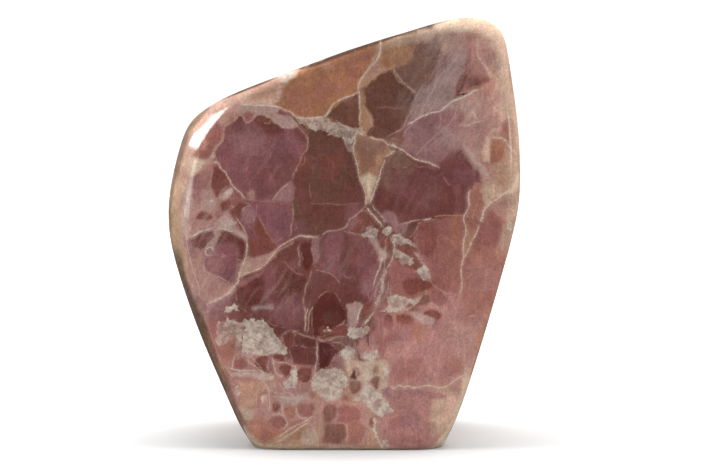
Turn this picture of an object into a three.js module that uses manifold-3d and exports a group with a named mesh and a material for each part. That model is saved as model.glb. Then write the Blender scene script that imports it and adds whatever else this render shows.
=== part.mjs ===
// A free-standing piece of polished calcite: one solid stone, ground by hand into a flat-faced slab.
// Units are millimetres and +Z is up.  The broad polished face looks along -Y and the stone stands on its
// cut base at Z = 0.
//
// The body is what a lapidary leaves: a set of ground planes with softened arrises.  In every direction from
// the stone's middle, its surface lies at the soft minimum of the distances to those planes.
import * as THREE from "three";
import { mergeVertices } from "three/addons/utils/BufferGeometryUtils.js";
import Module from "manifold-3d";

const HEIGHT_OF_MIDDLE = 60; // from the cut base up to the point that every plane is measured from
const MIDDLE_X = 0.18; // these two set the stone's bounding box evenly about the origin
const MIDDLE_Y = 0.98;

const FACE_DEPTH = 19.5; // from the middle forward to the polished face
const FACE_LEAN = THREE.MathUtils.degToRad(3.2); // the face leans back by this much
const ARRIS_SOFTNESS = 60; // exponent of the soft minimum: higher is crisper

// The planes ground round the edge, anticlockwise from the cut base, seen from the front.
// corner: where the plane's line starts, as [x from the middle, z from the base]. It runs to the next corner.
// frontRound: radius of its edge with the polished face.
// lean: degrees that it draws in towards the back.
const EDGES = [
  { name: "base", corner: [-25, -2.4], frontRound: 4.4, lean: 0 },
  { name: "foot right", corner: [27.4, -2.4], frontRound: 2.2, lean: 6 },
  { name: "flank right", corner: [33, 7.5], frontRound: 1.6, lean: 8 },
  { name: "flank right upper", corner: [46.3, 52.3], frontRound: 2.4, lean: 8 },
  { name: "waist right", corner: [50, 67], frontRound: 5.0, lean: 8 },
  { name: "upper right", corner: [49.8, 92], frontRound: 6.0, lean: 9 },
  { name: "shoulder right", corner: [45, 118], frontRound: 4.5, lean: 14 },
  { name: "peak", corner: [39.8, 122.4], frontRound: 2.6, lean: 20 },
  { name: "top right", corner: [30, 123], frontRound: 1.2, lean: 20 },
  { name: "top left", corner: [-20.2, 106.4], frontRound: 1.6, lean: 20 },
  { name: "shoulder left", corner: [-38, 98.5], frontRound: 8.5, lean: 15 },
  { name: "upper left", corner: [-45, 90.5], frontRound: 8.5, lean: 12 },
  { name: "waist left", corner: [-50.4, 71], frontRound: 7.0, lean: 12 },
  { name: "flank left upper", corner: [-50.6, 59.5], frontRound: 5.0, lean: 10 },
  { name: "flank left", corner: [-47.5, 47.2], frontRound: 3.0, lean: 10 },
  { name: "foot left", corner: [-30.3, 4.4], frontRound: 3.0, lean: 6 },
];
const BACK_ROUND = 8; // radius of every edge with the back
const BACK_SHARE = 0.88; // the back's edge lies at this share of the outline
// The back is three broad planes that meet in low ridges.
// turn and tip: degrees that a plane swings to +X and upwards.
const BACK_PLANES = [
  { name: "back lower", turn: 2, tip: 2, depth: 18.6 },
  { name: "back upper left", turn: -7, tip: 9, depth: 18.9 },
  { name: "back upper right", turn: 8, tip: 11, depth: 19.6 },
];
const FRONT_ROUND_STEPS = [-67.5, -45, -22.5]; // tangent planes that make up each front edge's round
const BACK_ROUND_STEPS = [28, 46, 64];

// The slight unevenness of a surface ground by hand: waves of this height along each direction.
const WAVES = [
  { height: 0.16, along: [0.11, 0.05, 0.07], start: 0.4 },
  { height: 0.12, along: [-0.06, 0.09, 0.13], start: 2.1 },
  { height: 0.07, along: [0.21, -0.12, -0.1], start: 4.0 },
];

// Small natural losses in the edge: where each one is, its radius and its depth.
const CHIPS = [
  { name: "ochre nick in the left flank", at: [-34.4, -20.2, 22.3], radius: 2.6, depth: 0.8 },
  { name: "nick in the right flank", at: [38.6, -19.2, 30.6], radius: 1.8, depth: 0.5 },
  { name: "nick in the top edge", at: [14, -16.7, 115.9], radius: 1.6, depth: 0.4 },
];

const ROUND_SEGMENTS = 150;
// Half section of the turned cage that carries the mesh, front to back.
// Each point is [share of the outline, share of the depth].
const CAGE_SECTION = [
  [0, -1],
  [0.3, -1],
  [0.55, -1],
  [0.73, -1],
  [0.84, -1],
  [0.91, -1],
  [0.95, -1],
  [0.98, -1],
  [1, -0.98],
  [1, -0.92],
  [1, -0.84],
  [1, -0.74],
  [1, -0.6],
  [1, -0.35],
  [1, -0.05],
  [1, 0.25],
  [1, 0.5],
  [1, 0.68],
  [1, 0.84],
  [0.98, 1],
  [0.92, 1],
  [0.84, 1],
  [0.72, 1],
  [0.5, 1],
  [0.25, 1],
  [0, 1],
];

// Each edge's plane, in radians and millimetres.
// turn: direction that it faces, from +X towards +Z.
// reach: how far its widest line is from the middle.
const EDGE_PLANES = EDGES.map((edge, i) => {
  const [x, z] = edge.corner;
  const [nextX, nextZ] = EDGES[(i + 1) % EDGES.length].corner;
  const turn = Math.atan2(x - nextX, nextZ - z);
  const reach = x * Math.cos(turn) + (z - HEIGHT_OF_MIDDLE) * Math.sin(turn);
  const lean = THREE.MathUtils.degToRad(edge.lean);
  return { turn, reach, lean, frontRound: edge.frontRound };
});

// Outward normal of a plane that faces turn round the depth axis and lean towards the back.
function edgeNormal(turn, lean) {
  return new THREE.Vector3(Math.cos(turn) * Math.cos(lean), Math.sin(lean), Math.sin(turn) * Math.cos(lean));
}

const FACE_PLANE = {
  normal: new THREE.Vector3(0, -Math.cos(FACE_LEAN), Math.sin(FACE_LEAN)),
  distance: FACE_DEPTH * Math.cos(FACE_LEAN),
};

const BACKS = BACK_PLANES.map((back) => {
  const turn = THREE.MathUtils.degToRad(back.turn);
  const tip = THREE.MathUtils.degToRad(back.tip);
  return {
    normal: new THREE.Vector3(Math.sin(turn) * Math.cos(tip), Math.cos(turn) * Math.cos(tip), Math.sin(tip)),
    distance: back.depth,
  };
});

// Y of a front or back plane above the point (x, z), all measured from the middle.
function planeY(plane, x, z) {
  return (plane.distance - plane.normal.x * x - plane.normal.z * z) / plane.normal.y;
}

function backY(x, z) {
  return Math.min(...BACKS.map((back) => planeY(back, x, z)));
}

// Every ground plane as {normal, distance}, measured from the stone's middle.
function groundPlanes() {
  const planes = [FACE_PLANE, ...BACKS];
  for (const edge of EDGE_PLANES) {
    const x = edge.reach * Math.cos(edge.turn);
    const z = edge.reach * Math.sin(edge.turn);
    const tangent = (centre, round, lean) => ({
      normal: edgeNormal(edge.turn, lean),
      distance: Math.cos(lean) * centre.reach + Math.sin(lean) * centre.y + round,
    });
    const frontCentre = {
      reach: edge.reach - edge.frontRound,
      y: planeY(FACE_PLANE, x, z) + edge.frontRound,
    };
    for (const degrees of FRONT_ROUND_STEPS) {
      planes.push(tangent(frontCentre, edge.frontRound, THREE.MathUtils.degToRad(degrees)));
    }
    const side = tangent(frontCentre, edge.frontRound, edge.lean);
    planes.push(side);
    const backCentreY = backY(x * BACK_SHARE, z * BACK_SHARE) - BACK_ROUND;
    const backCentre = {
      reach: (side.distance - BACK_ROUND - Math.sin(edge.lean) * backCentreY) / Math.cos(edge.lean),
      y: backCentreY,
    };
    for (const degrees of BACK_ROUND_STEPS) {
      planes.push(tangent(backCentre, BACK_ROUND, THREE.MathUtils.degToRad(degrees)));
    }
  }
  return planes;
}

const PLANES = groundPlanes();

// Distance from the middle to the softened surface along a unit direction.
function surfaceRadius(direction) {
  let sum = 0;
  for (const plane of PLANES) {
    const share = direction.dot(plane.normal) / plane.distance;
    if (share > 0) sum += share ** ARRIS_SOFTNESS;
  }
  return sum ** (-1 / ARRIS_SOFTNESS);
}

// Distance from the depth axis to the outline at its widest, in the direction of an angle.
function outlineRadius(angle) {
  let sum = 0;
  for (const edge of EDGE_PLANES) {
    const share = Math.cos(angle - edge.turn) / edge.reach;
    if (share > 0) sum += share ** ARRIS_SOFTNESS;
  }
  return sum ** (-1 / ARRIS_SOFTNESS);
}

function handGroundWave(point) {
  return WAVES.reduce(
    (sum, wave) =>
      sum +
      wave.height *
        Math.sin(point.x * wave.along[0] + point.y * wave.along[1] + point.z * wave.along[2] + wave.start),
    0,
  );
}

function chipDepth(point) {
  return CHIPS.reduce((sum, chip) => {
    const share = point.distanceTo(new THREE.Vector3(...chip.at)) / chip.radius;
    return share < 1 ? sum + chip.depth * (1 - share * share) ** 2 : sum;
  }, 0);
}

// Puts a point of the turned cage on the stone's surface.
function onStone(cagePoint) {
  const angle = Math.atan2(cagePoint.z, cagePoint.x);
  const outline = outlineRadius(angle);
  const [x, z] = [outline * Math.cos(angle), outline * Math.sin(angle)];
  const share = Math.hypot(cagePoint.x, cagePoint.z);
  // The cage's flat ends follow the face and the back, so that its rings run along the stone's edges.
  const end =
    cagePoint.y < 0
      ? -planeY(FACE_PLANE, share * x, share * z)
      : backY(share * x * BACK_SHARE, share * z * BACK_SHARE);
  const direction = new THREE.Vector3(x * share, cagePoint.y * end, z * share).normalize();
  const middle = new THREE.Vector3(MIDDLE_X, MIDDLE_Y, HEIGHT_OF_MIDDLE);
  const radius = surfaceRadius(direction);
  const smooth = direction.clone().multiplyScalar(radius).add(middle);
  return direction.multiplyScalar(radius + handGroundWave(smooth) - chipDepth(smooth)).add(middle);
}

// The whole ground body, before its base is sawn flat.
function groundBody() {
  const section = CAGE_SECTION.map(([across, depth]) => new THREE.Vector2(across, depth));
  const cage = new THREE.LatheGeometry(section, ROUND_SEGMENTS);
  const places = cage.getAttribute("position");
  const place = new THREE.Vector3();
  for (let i = 0; i < places.count; i++) {
    place.fromBufferAttribute(places, i);
    if (Math.hypot(place.x, place.z) < 1e-6) place.set(0, place.y, 0);
    place.copy(onStone(place));
    places.setXYZ(i, place.x, place.y, place.z);
  }
  return cage;
}

const wasm = await Module();
wasm.setup();

function solidFrom(geometry) {
  const bare = new THREE.BufferGeometry();
  bare.setAttribute("position", geometry.getAttribute("position"));
  bare.setIndex(geometry.index);
  const merged = mergeVertices(bare, 1e-4);
  return new wasm.Manifold(
    new wasm.Mesh({
      numProp: 3,
      vertProperties: merged.attributes.position.array,
      triVerts: new Uint32Array(merged.index.array),
    }),
  );
}

function geometryFrom(solid) {
  const mesh = solid.getMesh();
  const geometry = new THREE.BufferGeometry();
  geometry.setAttribute("position", new THREE.BufferAttribute(new Float32Array(mesh.vertProperties), 3));
  geometry.setIndex(new THREE.BufferAttribute(new Uint32Array(mesh.triVerts), 1));
  geometry.computeVertexNormals();
  return geometry;
}

// Saws the body off flat at Z = 0.
function sawnFlat(body) {
  const SAW_BLOCK = 200;
  const block = new THREE.BoxGeometry(SAW_BLOCK, SAW_BLOCK, SAW_BLOCK).translate(0, 0, -SAW_BLOCK / 2);
  return body.subtract(solidFrom(block));
}

const calcite = new THREE.Mesh(
  geometryFrom(sawnFlat(solidFrom(groundBody()))),
  new THREE.MeshStandardMaterial({ name: "polished calcite", color: 0x8f5450, roughness: 0.18 }),
);
calcite.name = "calcite";

const stone = new THREE.Group();
stone.name = "polished_calcite";
stone.add(calcite);

export default stone;
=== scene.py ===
import math

import bmesh
import bpy
import numpy as np
from mathutils import Matrix, Vector


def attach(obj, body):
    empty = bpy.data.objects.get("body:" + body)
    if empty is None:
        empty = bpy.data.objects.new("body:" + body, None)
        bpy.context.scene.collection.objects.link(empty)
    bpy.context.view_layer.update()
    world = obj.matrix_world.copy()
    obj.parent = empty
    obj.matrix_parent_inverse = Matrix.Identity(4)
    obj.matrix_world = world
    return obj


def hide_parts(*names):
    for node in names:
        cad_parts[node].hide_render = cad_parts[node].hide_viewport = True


MM = 0.001

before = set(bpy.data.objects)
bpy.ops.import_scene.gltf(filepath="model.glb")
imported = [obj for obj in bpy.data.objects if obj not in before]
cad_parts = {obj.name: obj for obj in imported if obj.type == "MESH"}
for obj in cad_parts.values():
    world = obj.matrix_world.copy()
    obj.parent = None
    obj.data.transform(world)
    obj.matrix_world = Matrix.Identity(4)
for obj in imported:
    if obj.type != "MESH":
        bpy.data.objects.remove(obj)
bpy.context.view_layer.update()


# ---------------------------------------------------------------------------------------------
# The ground body
# ---------------------------------------------------------------------------------------------

MIDDLE = np.array([0.18, 0.98, 60.0])  # the point that every ground plane is measured from
FACE_DEPTH = 19.5  # the face lies this far in front of the middle
FACE_LEAN = math.radians(3.2)  # and leans back by this much
ARRIS_CRISPNESS = 60  # the higher, the crisper the edges between the ground planes

# The planes ground round the edge, anticlockwise from the cut base, seen from the front.
# name: (where its line starts, as x from the middle and z from the base, radius of its edge with the face,
# lean towards the back); each line runs to where the next one starts
EDGES = {
    "base": (-25, -2.4, 4.4, 0),
    "foot right": (27.4, -2.4, 2.2, 6),
    "flank right": (33, 7.5, 1.6, 8),
    "flank right upper": (46.3, 52.3, 2.4, 8),
    "waist right": (50, 67, 5.0, 8),
    "upper right": (49.8, 92, 6.0, 9),
    "shoulder right": (45, 118, 4.5, 14),
    "peak": (39.8, 122.4, 2.6, 20),
    "top right": (30, 123, 1.2, 20),
    "top left": (-20.2, 106.4, 1.6, 20),
    "shoulder left": (-38, 98.5, 8.5, 15),
    "upper left": (-45, 90.5, 8.5, 12),
    "waist left": (-50.4, 71, 7.0, 12),
    "flank left upper": (-50.6, 59.5, 5.0, 10),
    "flank left": (-47.5, 47.2, 3.0, 10),
    "foot left": (-30.3, 4.4, 3.0, 6),
}
BACK_ROUND = 8.0  # radius of the edge with the back
BACK_SHARE = 0.88  # that edge takes its depth at this share of the way out from the middle
# name: (turn towards +X, tip upwards, distance)
BACK_PLANES = {
    "back lower": (2, 2, 18.6),
    "back upper left": (-7, 9, 18.9),
    "back upper right": (8, 11, 19.6),
}
# Leans, in degrees, of the narrow planes that round the edges
FRONT_ROUND_STEPS = (-67.5, -45, -22.5)
BACK_ROUND_STEPS = (28, 46, 64)

# (height, direction and frequency, start) of the slight unevenness of a hand-ground surface
WAVES = (
    (0.16, (0.11, 0.05, 0.07), 0.4),
    (0.12, (-0.06, 0.09, 0.13), 2.1),
    (0.07, (0.21, -0.12, -0.1), 4.0),
)
# (place, radius, depth) of the small natural losses along the edges
CHIPS = (
    ((-34.4, -20.2, 22.3), 2.6, 0.8),
    ((38.6, -19.2, 30.6), 1.8, 0.5),
    ((14.0, -16.7, 115.9), 1.6, 0.4),
)

SKIN = 0.12  # the dressed surface lies this much inside the stone's solid
HALF_BOX = Vector((50.0, 20.6, 61.2))  # the box that is divided finely and moved onto the stone
COARSE_STEP = 1.27  # spacing of the mesh on the sides and the back
FINE_DEPTH = 3.9  # the face and this much of the sides have a mesh three times as fine
FINE_CUTS = 2  # new points on each of their edges
BASE_REACH = 0.02  # vertices below this height are put on the cut base
SLIVER = 1e-4  # edges shorter than this are closed up


def edge_planes():
    """(turn from +X towards +Z, reach at its widest, radius of its edge with the face, lean) of each."""
    edges = list(EDGES.values())
    planes = []
    for edge, following in zip(edges, edges[1:] + edges[:1]):
        x, z, front_round, lean = edge
        turn = math.atan2(x - following[0], following[1] - z)
        reach = x * math.cos(turn) + (z - MIDDLE[2]) * math.sin(turn)
        planes.append((turn, reach, front_round, math.radians(lean)))
    return planes


def edge_normal(turn, lean):
    """Direction in which an edge plane looks."""
    return np.array([math.cos(turn) * math.cos(lean), math.sin(lean), math.sin(turn) * math.cos(lean)])


def back_normal(turn, tip):
    """Direction in which a plane of the back looks, from angles in degrees."""
    turn = math.radians(turn)
    tip = math.radians(tip)
    return np.array([math.sin(turn) * math.cos(tip), math.cos(turn) * math.cos(tip), math.sin(tip)])


EDGE_PLANES = edge_planes()
FACE_NORMAL = np.array([0.0, -math.cos(FACE_LEAN), math.sin(FACE_LEAN)])
FACE_DISTANCE = FACE_DEPTH * math.cos(FACE_LEAN)
BACKS = [(back_normal(turn, tip), distance) for turn, tip, distance in BACK_PLANES.values()]


def plane_y(normal, distance, x, z):
    """Depth of a front or back plane above (x, z), from the middle."""
    return (distance - normal[0] * x - normal[2] * z) / normal[1]


def ground_planes():
    """Every ground plane's normal and distance, from the middle."""
    planes = [(FACE_NORMAL, FACE_DISTANCE), *BACKS]
    for turn, reach, front_round, side_lean in EDGE_PLANES:
        x = reach * math.cos(turn)
        z = reach * math.sin(turn)

        def tangent(centre_reach, centre_y, radius, lean):
            distance = math.cos(lean) * centre_reach + math.sin(lean) * centre_y + radius
            return edge_normal(turn, lean), distance

        front_y = plane_y(FACE_NORMAL, FACE_DISTANCE, x, z) + front_round
        for step in FRONT_ROUND_STEPS:
            planes.append(tangent(reach - front_round, front_y, front_round, math.radians(step)))
        side = tangent(reach - front_round, front_y, front_round, side_lean)
        planes.append(side)
        back_y = min(plane_y(n, d, x * BACK_SHARE, z * BACK_SHARE) for n, d in BACKS) - BACK_ROUND
        back_reach = (side[1] - BACK_ROUND - math.sin(side_lean) * back_y) / math.cos(side_lean)
        for step in BACK_ROUND_STEPS:
            planes.append(tangent(back_reach, back_y, BACK_ROUND, math.radians(step)))
    return np.array([n for n, _ in planes]), np.array([d for _, d in planes])


def soft_radius(directions, normals, distances):
    """Distance to the softened surface along unit directions."""
    share = np.maximum(directions @ (normals / distances[:, None]).T, 0)
    most = share.max(axis=1)
    return 1 / (most * ((share / most[:, None]) ** ARRIS_CRISPNESS).sum(axis=1) ** (1 / ARRIS_CRISPNESS))


def outline_inset(x, z):
    """How far inside the outline each place (from the middle) lies, seen from the front."""
    insets = [reach - x * math.cos(turn) - z * math.sin(turn) for turn, reach, _, _ in EDGE_PLANES]
    return np.min(insets, axis=0)


def on_stone(directions):
    """The surface point along each unit direction from the middle."""
    radius = soft_radius(directions, *ground_planes()) - SKIN
    smooth = MIDDLE + directions * radius[:, None]
    for height, along, start in WAVES:
        radius = radius + height * np.sin(smooth @ np.array(along) + start)
    for place, chip_radius, depth in CHIPS:
        share = np.linalg.norm(smooth - np.array(place), axis=1) / chip_radius
        radius = radius - depth * np.maximum(1 - share**2, 0) ** 2
    return MIDDLE + directions * radius[:, None]


def divided_box():
    """A box divided evenly, and three times as finely at its front."""
    bm = bmesh.new()
    bmesh.ops.create_cube(bm, size=2.0)
    bmesh.ops.scale(bm, vec=HALF_BOX, verts=bm.verts)
    for axis, half in enumerate(HALF_BOX):
        along = [e for e in bm.edges if abs(e.verts[0].co[axis] - e.verts[1].co[axis]) > half]
        cuts = round(2 * half / COARSE_STEP) - 1
        bmesh.ops.subdivide_edgering(bm, edges=along, interp_mode="LINEAR", cuts=cuts)
    fine_y = -HALF_BOX.y + FINE_DEPTH
    fine = [e for e in bm.edges if max(v.co.y for v in e.verts) < fine_y]
    bmesh.ops.subdivide_edges(bm, edges=fine, cuts=FINE_CUTS, use_grid_fill=True)
    return bm


def saw_base(bm):
    """Cuts the stone flat at height 0, with a sharp edge round the cut."""
    cut = bmesh.ops.bisect_plane(
        bm,
        geom=bm.verts[:] + bm.edges[:] + bm.faces[:],
        plane_co=(0, 0, 0),
        plane_no=(0, 0, 1),
        dist=BASE_REACH,
    )
    for vertex in bm.verts:
        if vertex.co.z < BASE_REACH:
            vertex.co.z = 0
    for edge in cut["geom_cut"]:
        if isinstance(edge, bmesh.types.BMEdge):
            edge.smooth = False


def stone_mesh():
    """The divided box, with every vertex put on the ground body and the base sawn flat."""
    bm = divided_box()
    directions = np.array([v.co for v in bm.verts])
    directions /= np.linalg.norm(directions, axis=1)[:, None]
    for vertex, place in zip(bm.verts, on_stone(directions)):
        vertex.co = place
    saw_base(bm)
    bmesh.ops.dissolve_degenerate(bm, dist=SLIVER, edges=bm.edges)
    bmesh.ops.triangulate(bm, faces=[f for f in bm.faces if len(f.verts) > 4])
    for face in bm.faces:
        face.smooth = True
    bmesh.ops.recalc_face_normals(bm, faces=bm.faces)

    mesh = bpy.data.meshes.new("stone")
    bm.to_mesh(mesh)
    bm.free()
    return mesh


# ---------------------------------------------------------------------------------------------
# Markings: where each cell, vein and chalky patch lies
# ---------------------------------------------------------------------------------------------
# Places on the face are (x, z) in millimetres, seen from the front, with z up from the base.

STONE_COLOURS = {
    "plum": (136, 85, 88),
    "light plum": (152, 106, 105),
    "mauve": (150, 108, 108),
    "violet": (158, 128, 124),
    "dark plum": (116, 69, 67),
    "purple": (126, 82, 86),
    "maroon": (112, 63, 59),
    "deep maroon": (96, 44, 40),
    "oxblood": (86, 38, 36),
    "umber": (110, 71, 61),
    "dark umber": (101, 62, 53),
    "taupe": (126, 92, 82),
    "brown": (130, 88, 76),
    "olive brown": (110, 78, 63),
    "olive tan": (156, 126, 96),
    "chestnut": (110, 70, 57),
    "sienna": (164, 113, 80),
    "rust": (158, 104, 86),
    "tawny": (162, 120, 94),
    "brick": (124, 70, 61),
    "salmon brick": (162, 108, 96),
    "rose brick": (150, 96, 89),
    "salmon": (172, 118, 98),
    "rose": (168, 120, 112),
    "dusty rose": (172, 128, 118),
    "pink": (186, 144, 132),
    "shell": (204, 164, 146),
    "peach": (192, 146, 124),
    "tan": (178, 138, 116),
    "biscuit": (188, 158, 136),
    "cream": (208, 182, 158),
    "ochre cream": (206, 176, 120),
    "olive cream": (190, 166, 126),
    "lilac": (172, 140, 132),
    "lilac white": (192, 164, 152),
    "grey cream": (176, 152, 144),
    "haze": (156, 126, 119),
    "grey chalk": (174, 150, 136),
    # Rim colours: the top edge is painted shade, and the olive, dark and brown rims are partly painted
    # shade along the edges
    "olive rim and painted shade": (124, 100, 80),
    "dark rim and painted shade": (92, 72, 57),
    "brown rim and painted shade": (120, 88, 74),
    "top edge": (74, 54, 43),
}

# The broad drift of colour across the stone: (colour, x, z, size)
DRIFT = (
    ("shell", -25, 100, 6),
    ("sienna", -8, 102, 8),
    ("sienna", 6, 109, 6),
    ("tawny", 15, 112, 5),
    ("umber", 12, 98, 7),
    ("taupe", 20, 107, 7),
    ("violet", 24, 97, 7),
    ("haze", 29, 110, 5),
    ("dusty rose", 35, 96, 6),
    ("shell", 43, 106, 6),
    ("shell", 44, 96, 5),
    ("salmon", 44, 82, 5),
    ("dusty rose", 38, 86, 5),
    ("rose", -38, 88, 6),
    ("plum", -24, 84, 9),
    ("dark plum", -14, 84, 6),
    ("umber", -5, 80, 9),
    ("umber", 0, 70, 7),
    ("maroon", 18, 73, 9),
    ("plum", 30, 80, 6),
    ("rose", 38, 74, 5),
    ("dusty rose", -42, 70, 5),
    ("mauve", -36, 54, 6),
    ("plum", -25, 64, 6),
    ("maroon", -19, 44, 10),
    ("maroon", -4, 40, 9),
    ("dark plum", 5, 52, 6),
    ("brick", 26, 57, 8),
    ("salmon brick", 40, 57, 8),
    ("salmon brick", 33, 45, 7),
    ("rose", 22, 29, 9),
    ("salmon", 35, 32, 7),
    ("rose", 17, 10, 7),
    ("biscuit", 30, 11, 5),
    ("mauve", -38, 44, 5),
    ("rose brick", -35, 31, 5),
    ("salmon brick", -25, 24, 4),
    ("dark plum", -11, 29, 6),
    ("tan", -26, 15, 6),
    ("tan", -13, 8, 7),
    ("tan", -23, 5, 5),
    ("tan", 2, 7, 6),
    ("salmon brick", -4, 10, 5),
    ("grey chalk", 9, 22, 5),
)

# Broad lighter and darker zones: (x, z, half width, half height, change). Most are tones of the stone; the
# zone on the left shoulder is a painted highlight, and the two low zones at the foot are painted light
# lifting its shade
SHADES = (
    (-14, 36, 16, 12, -0.16),
    (18, 103, 9, 10, -0.16),
    (-2, 106, 13, 5, 0.16),
    # painted highlight on the left shoulder, where the lamp's streak falls
    (-41, 93, 6, 8, 0.25),
    (-37, 35, 5, 7, 0.15),
    # painted light: these two lift the foot of the face, which lies in shade
    (-12, 3, 24, 7, 0.1),
    (16, 5, 14, 8, 0.2),
    (22, 30, 13, 12, 0.22),
    (1, 12, 10, 11, 0.2),
    (44, 104, 7, 15, 0.25),
)

# Clouds of fine pale specks: (x, z, half width, half height, strength)
DUST = (
    (29, 110, 7, 10, 0.9),
    (25, 99, 8, 7, 0.8),
    (36, 96, 8, 6, 0.9),
    (44, 103, 5, 12, 0.9),
    (30, 88, 7, 4, 0.6),
    (16, 86, 7, 3, 0.5),
    (12, 60, 8, 7, 0.5),
    (10, 42, 4, 12, 0.6),
    (8, 24, 9, 8, 0.6),
    (-38, 64, 8, 10, 0.6),
    (-38, 47, 7, 8, 0.5),
    (-24, 99, 9, 3, 0.6),
    (-20, 14, 16, 10, 0.4),
    (38, 30, 6, 14, 0.35),
    (-20, 45, 9, 9, 0.5),
    (-23, 83, 8, 9, 0.3),
    (22, 28, 11, 10, 0.35),
    (-2, 55, 7, 7, 0.4),
    (20, 73, 9, 6, 0.2),
)

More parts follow.
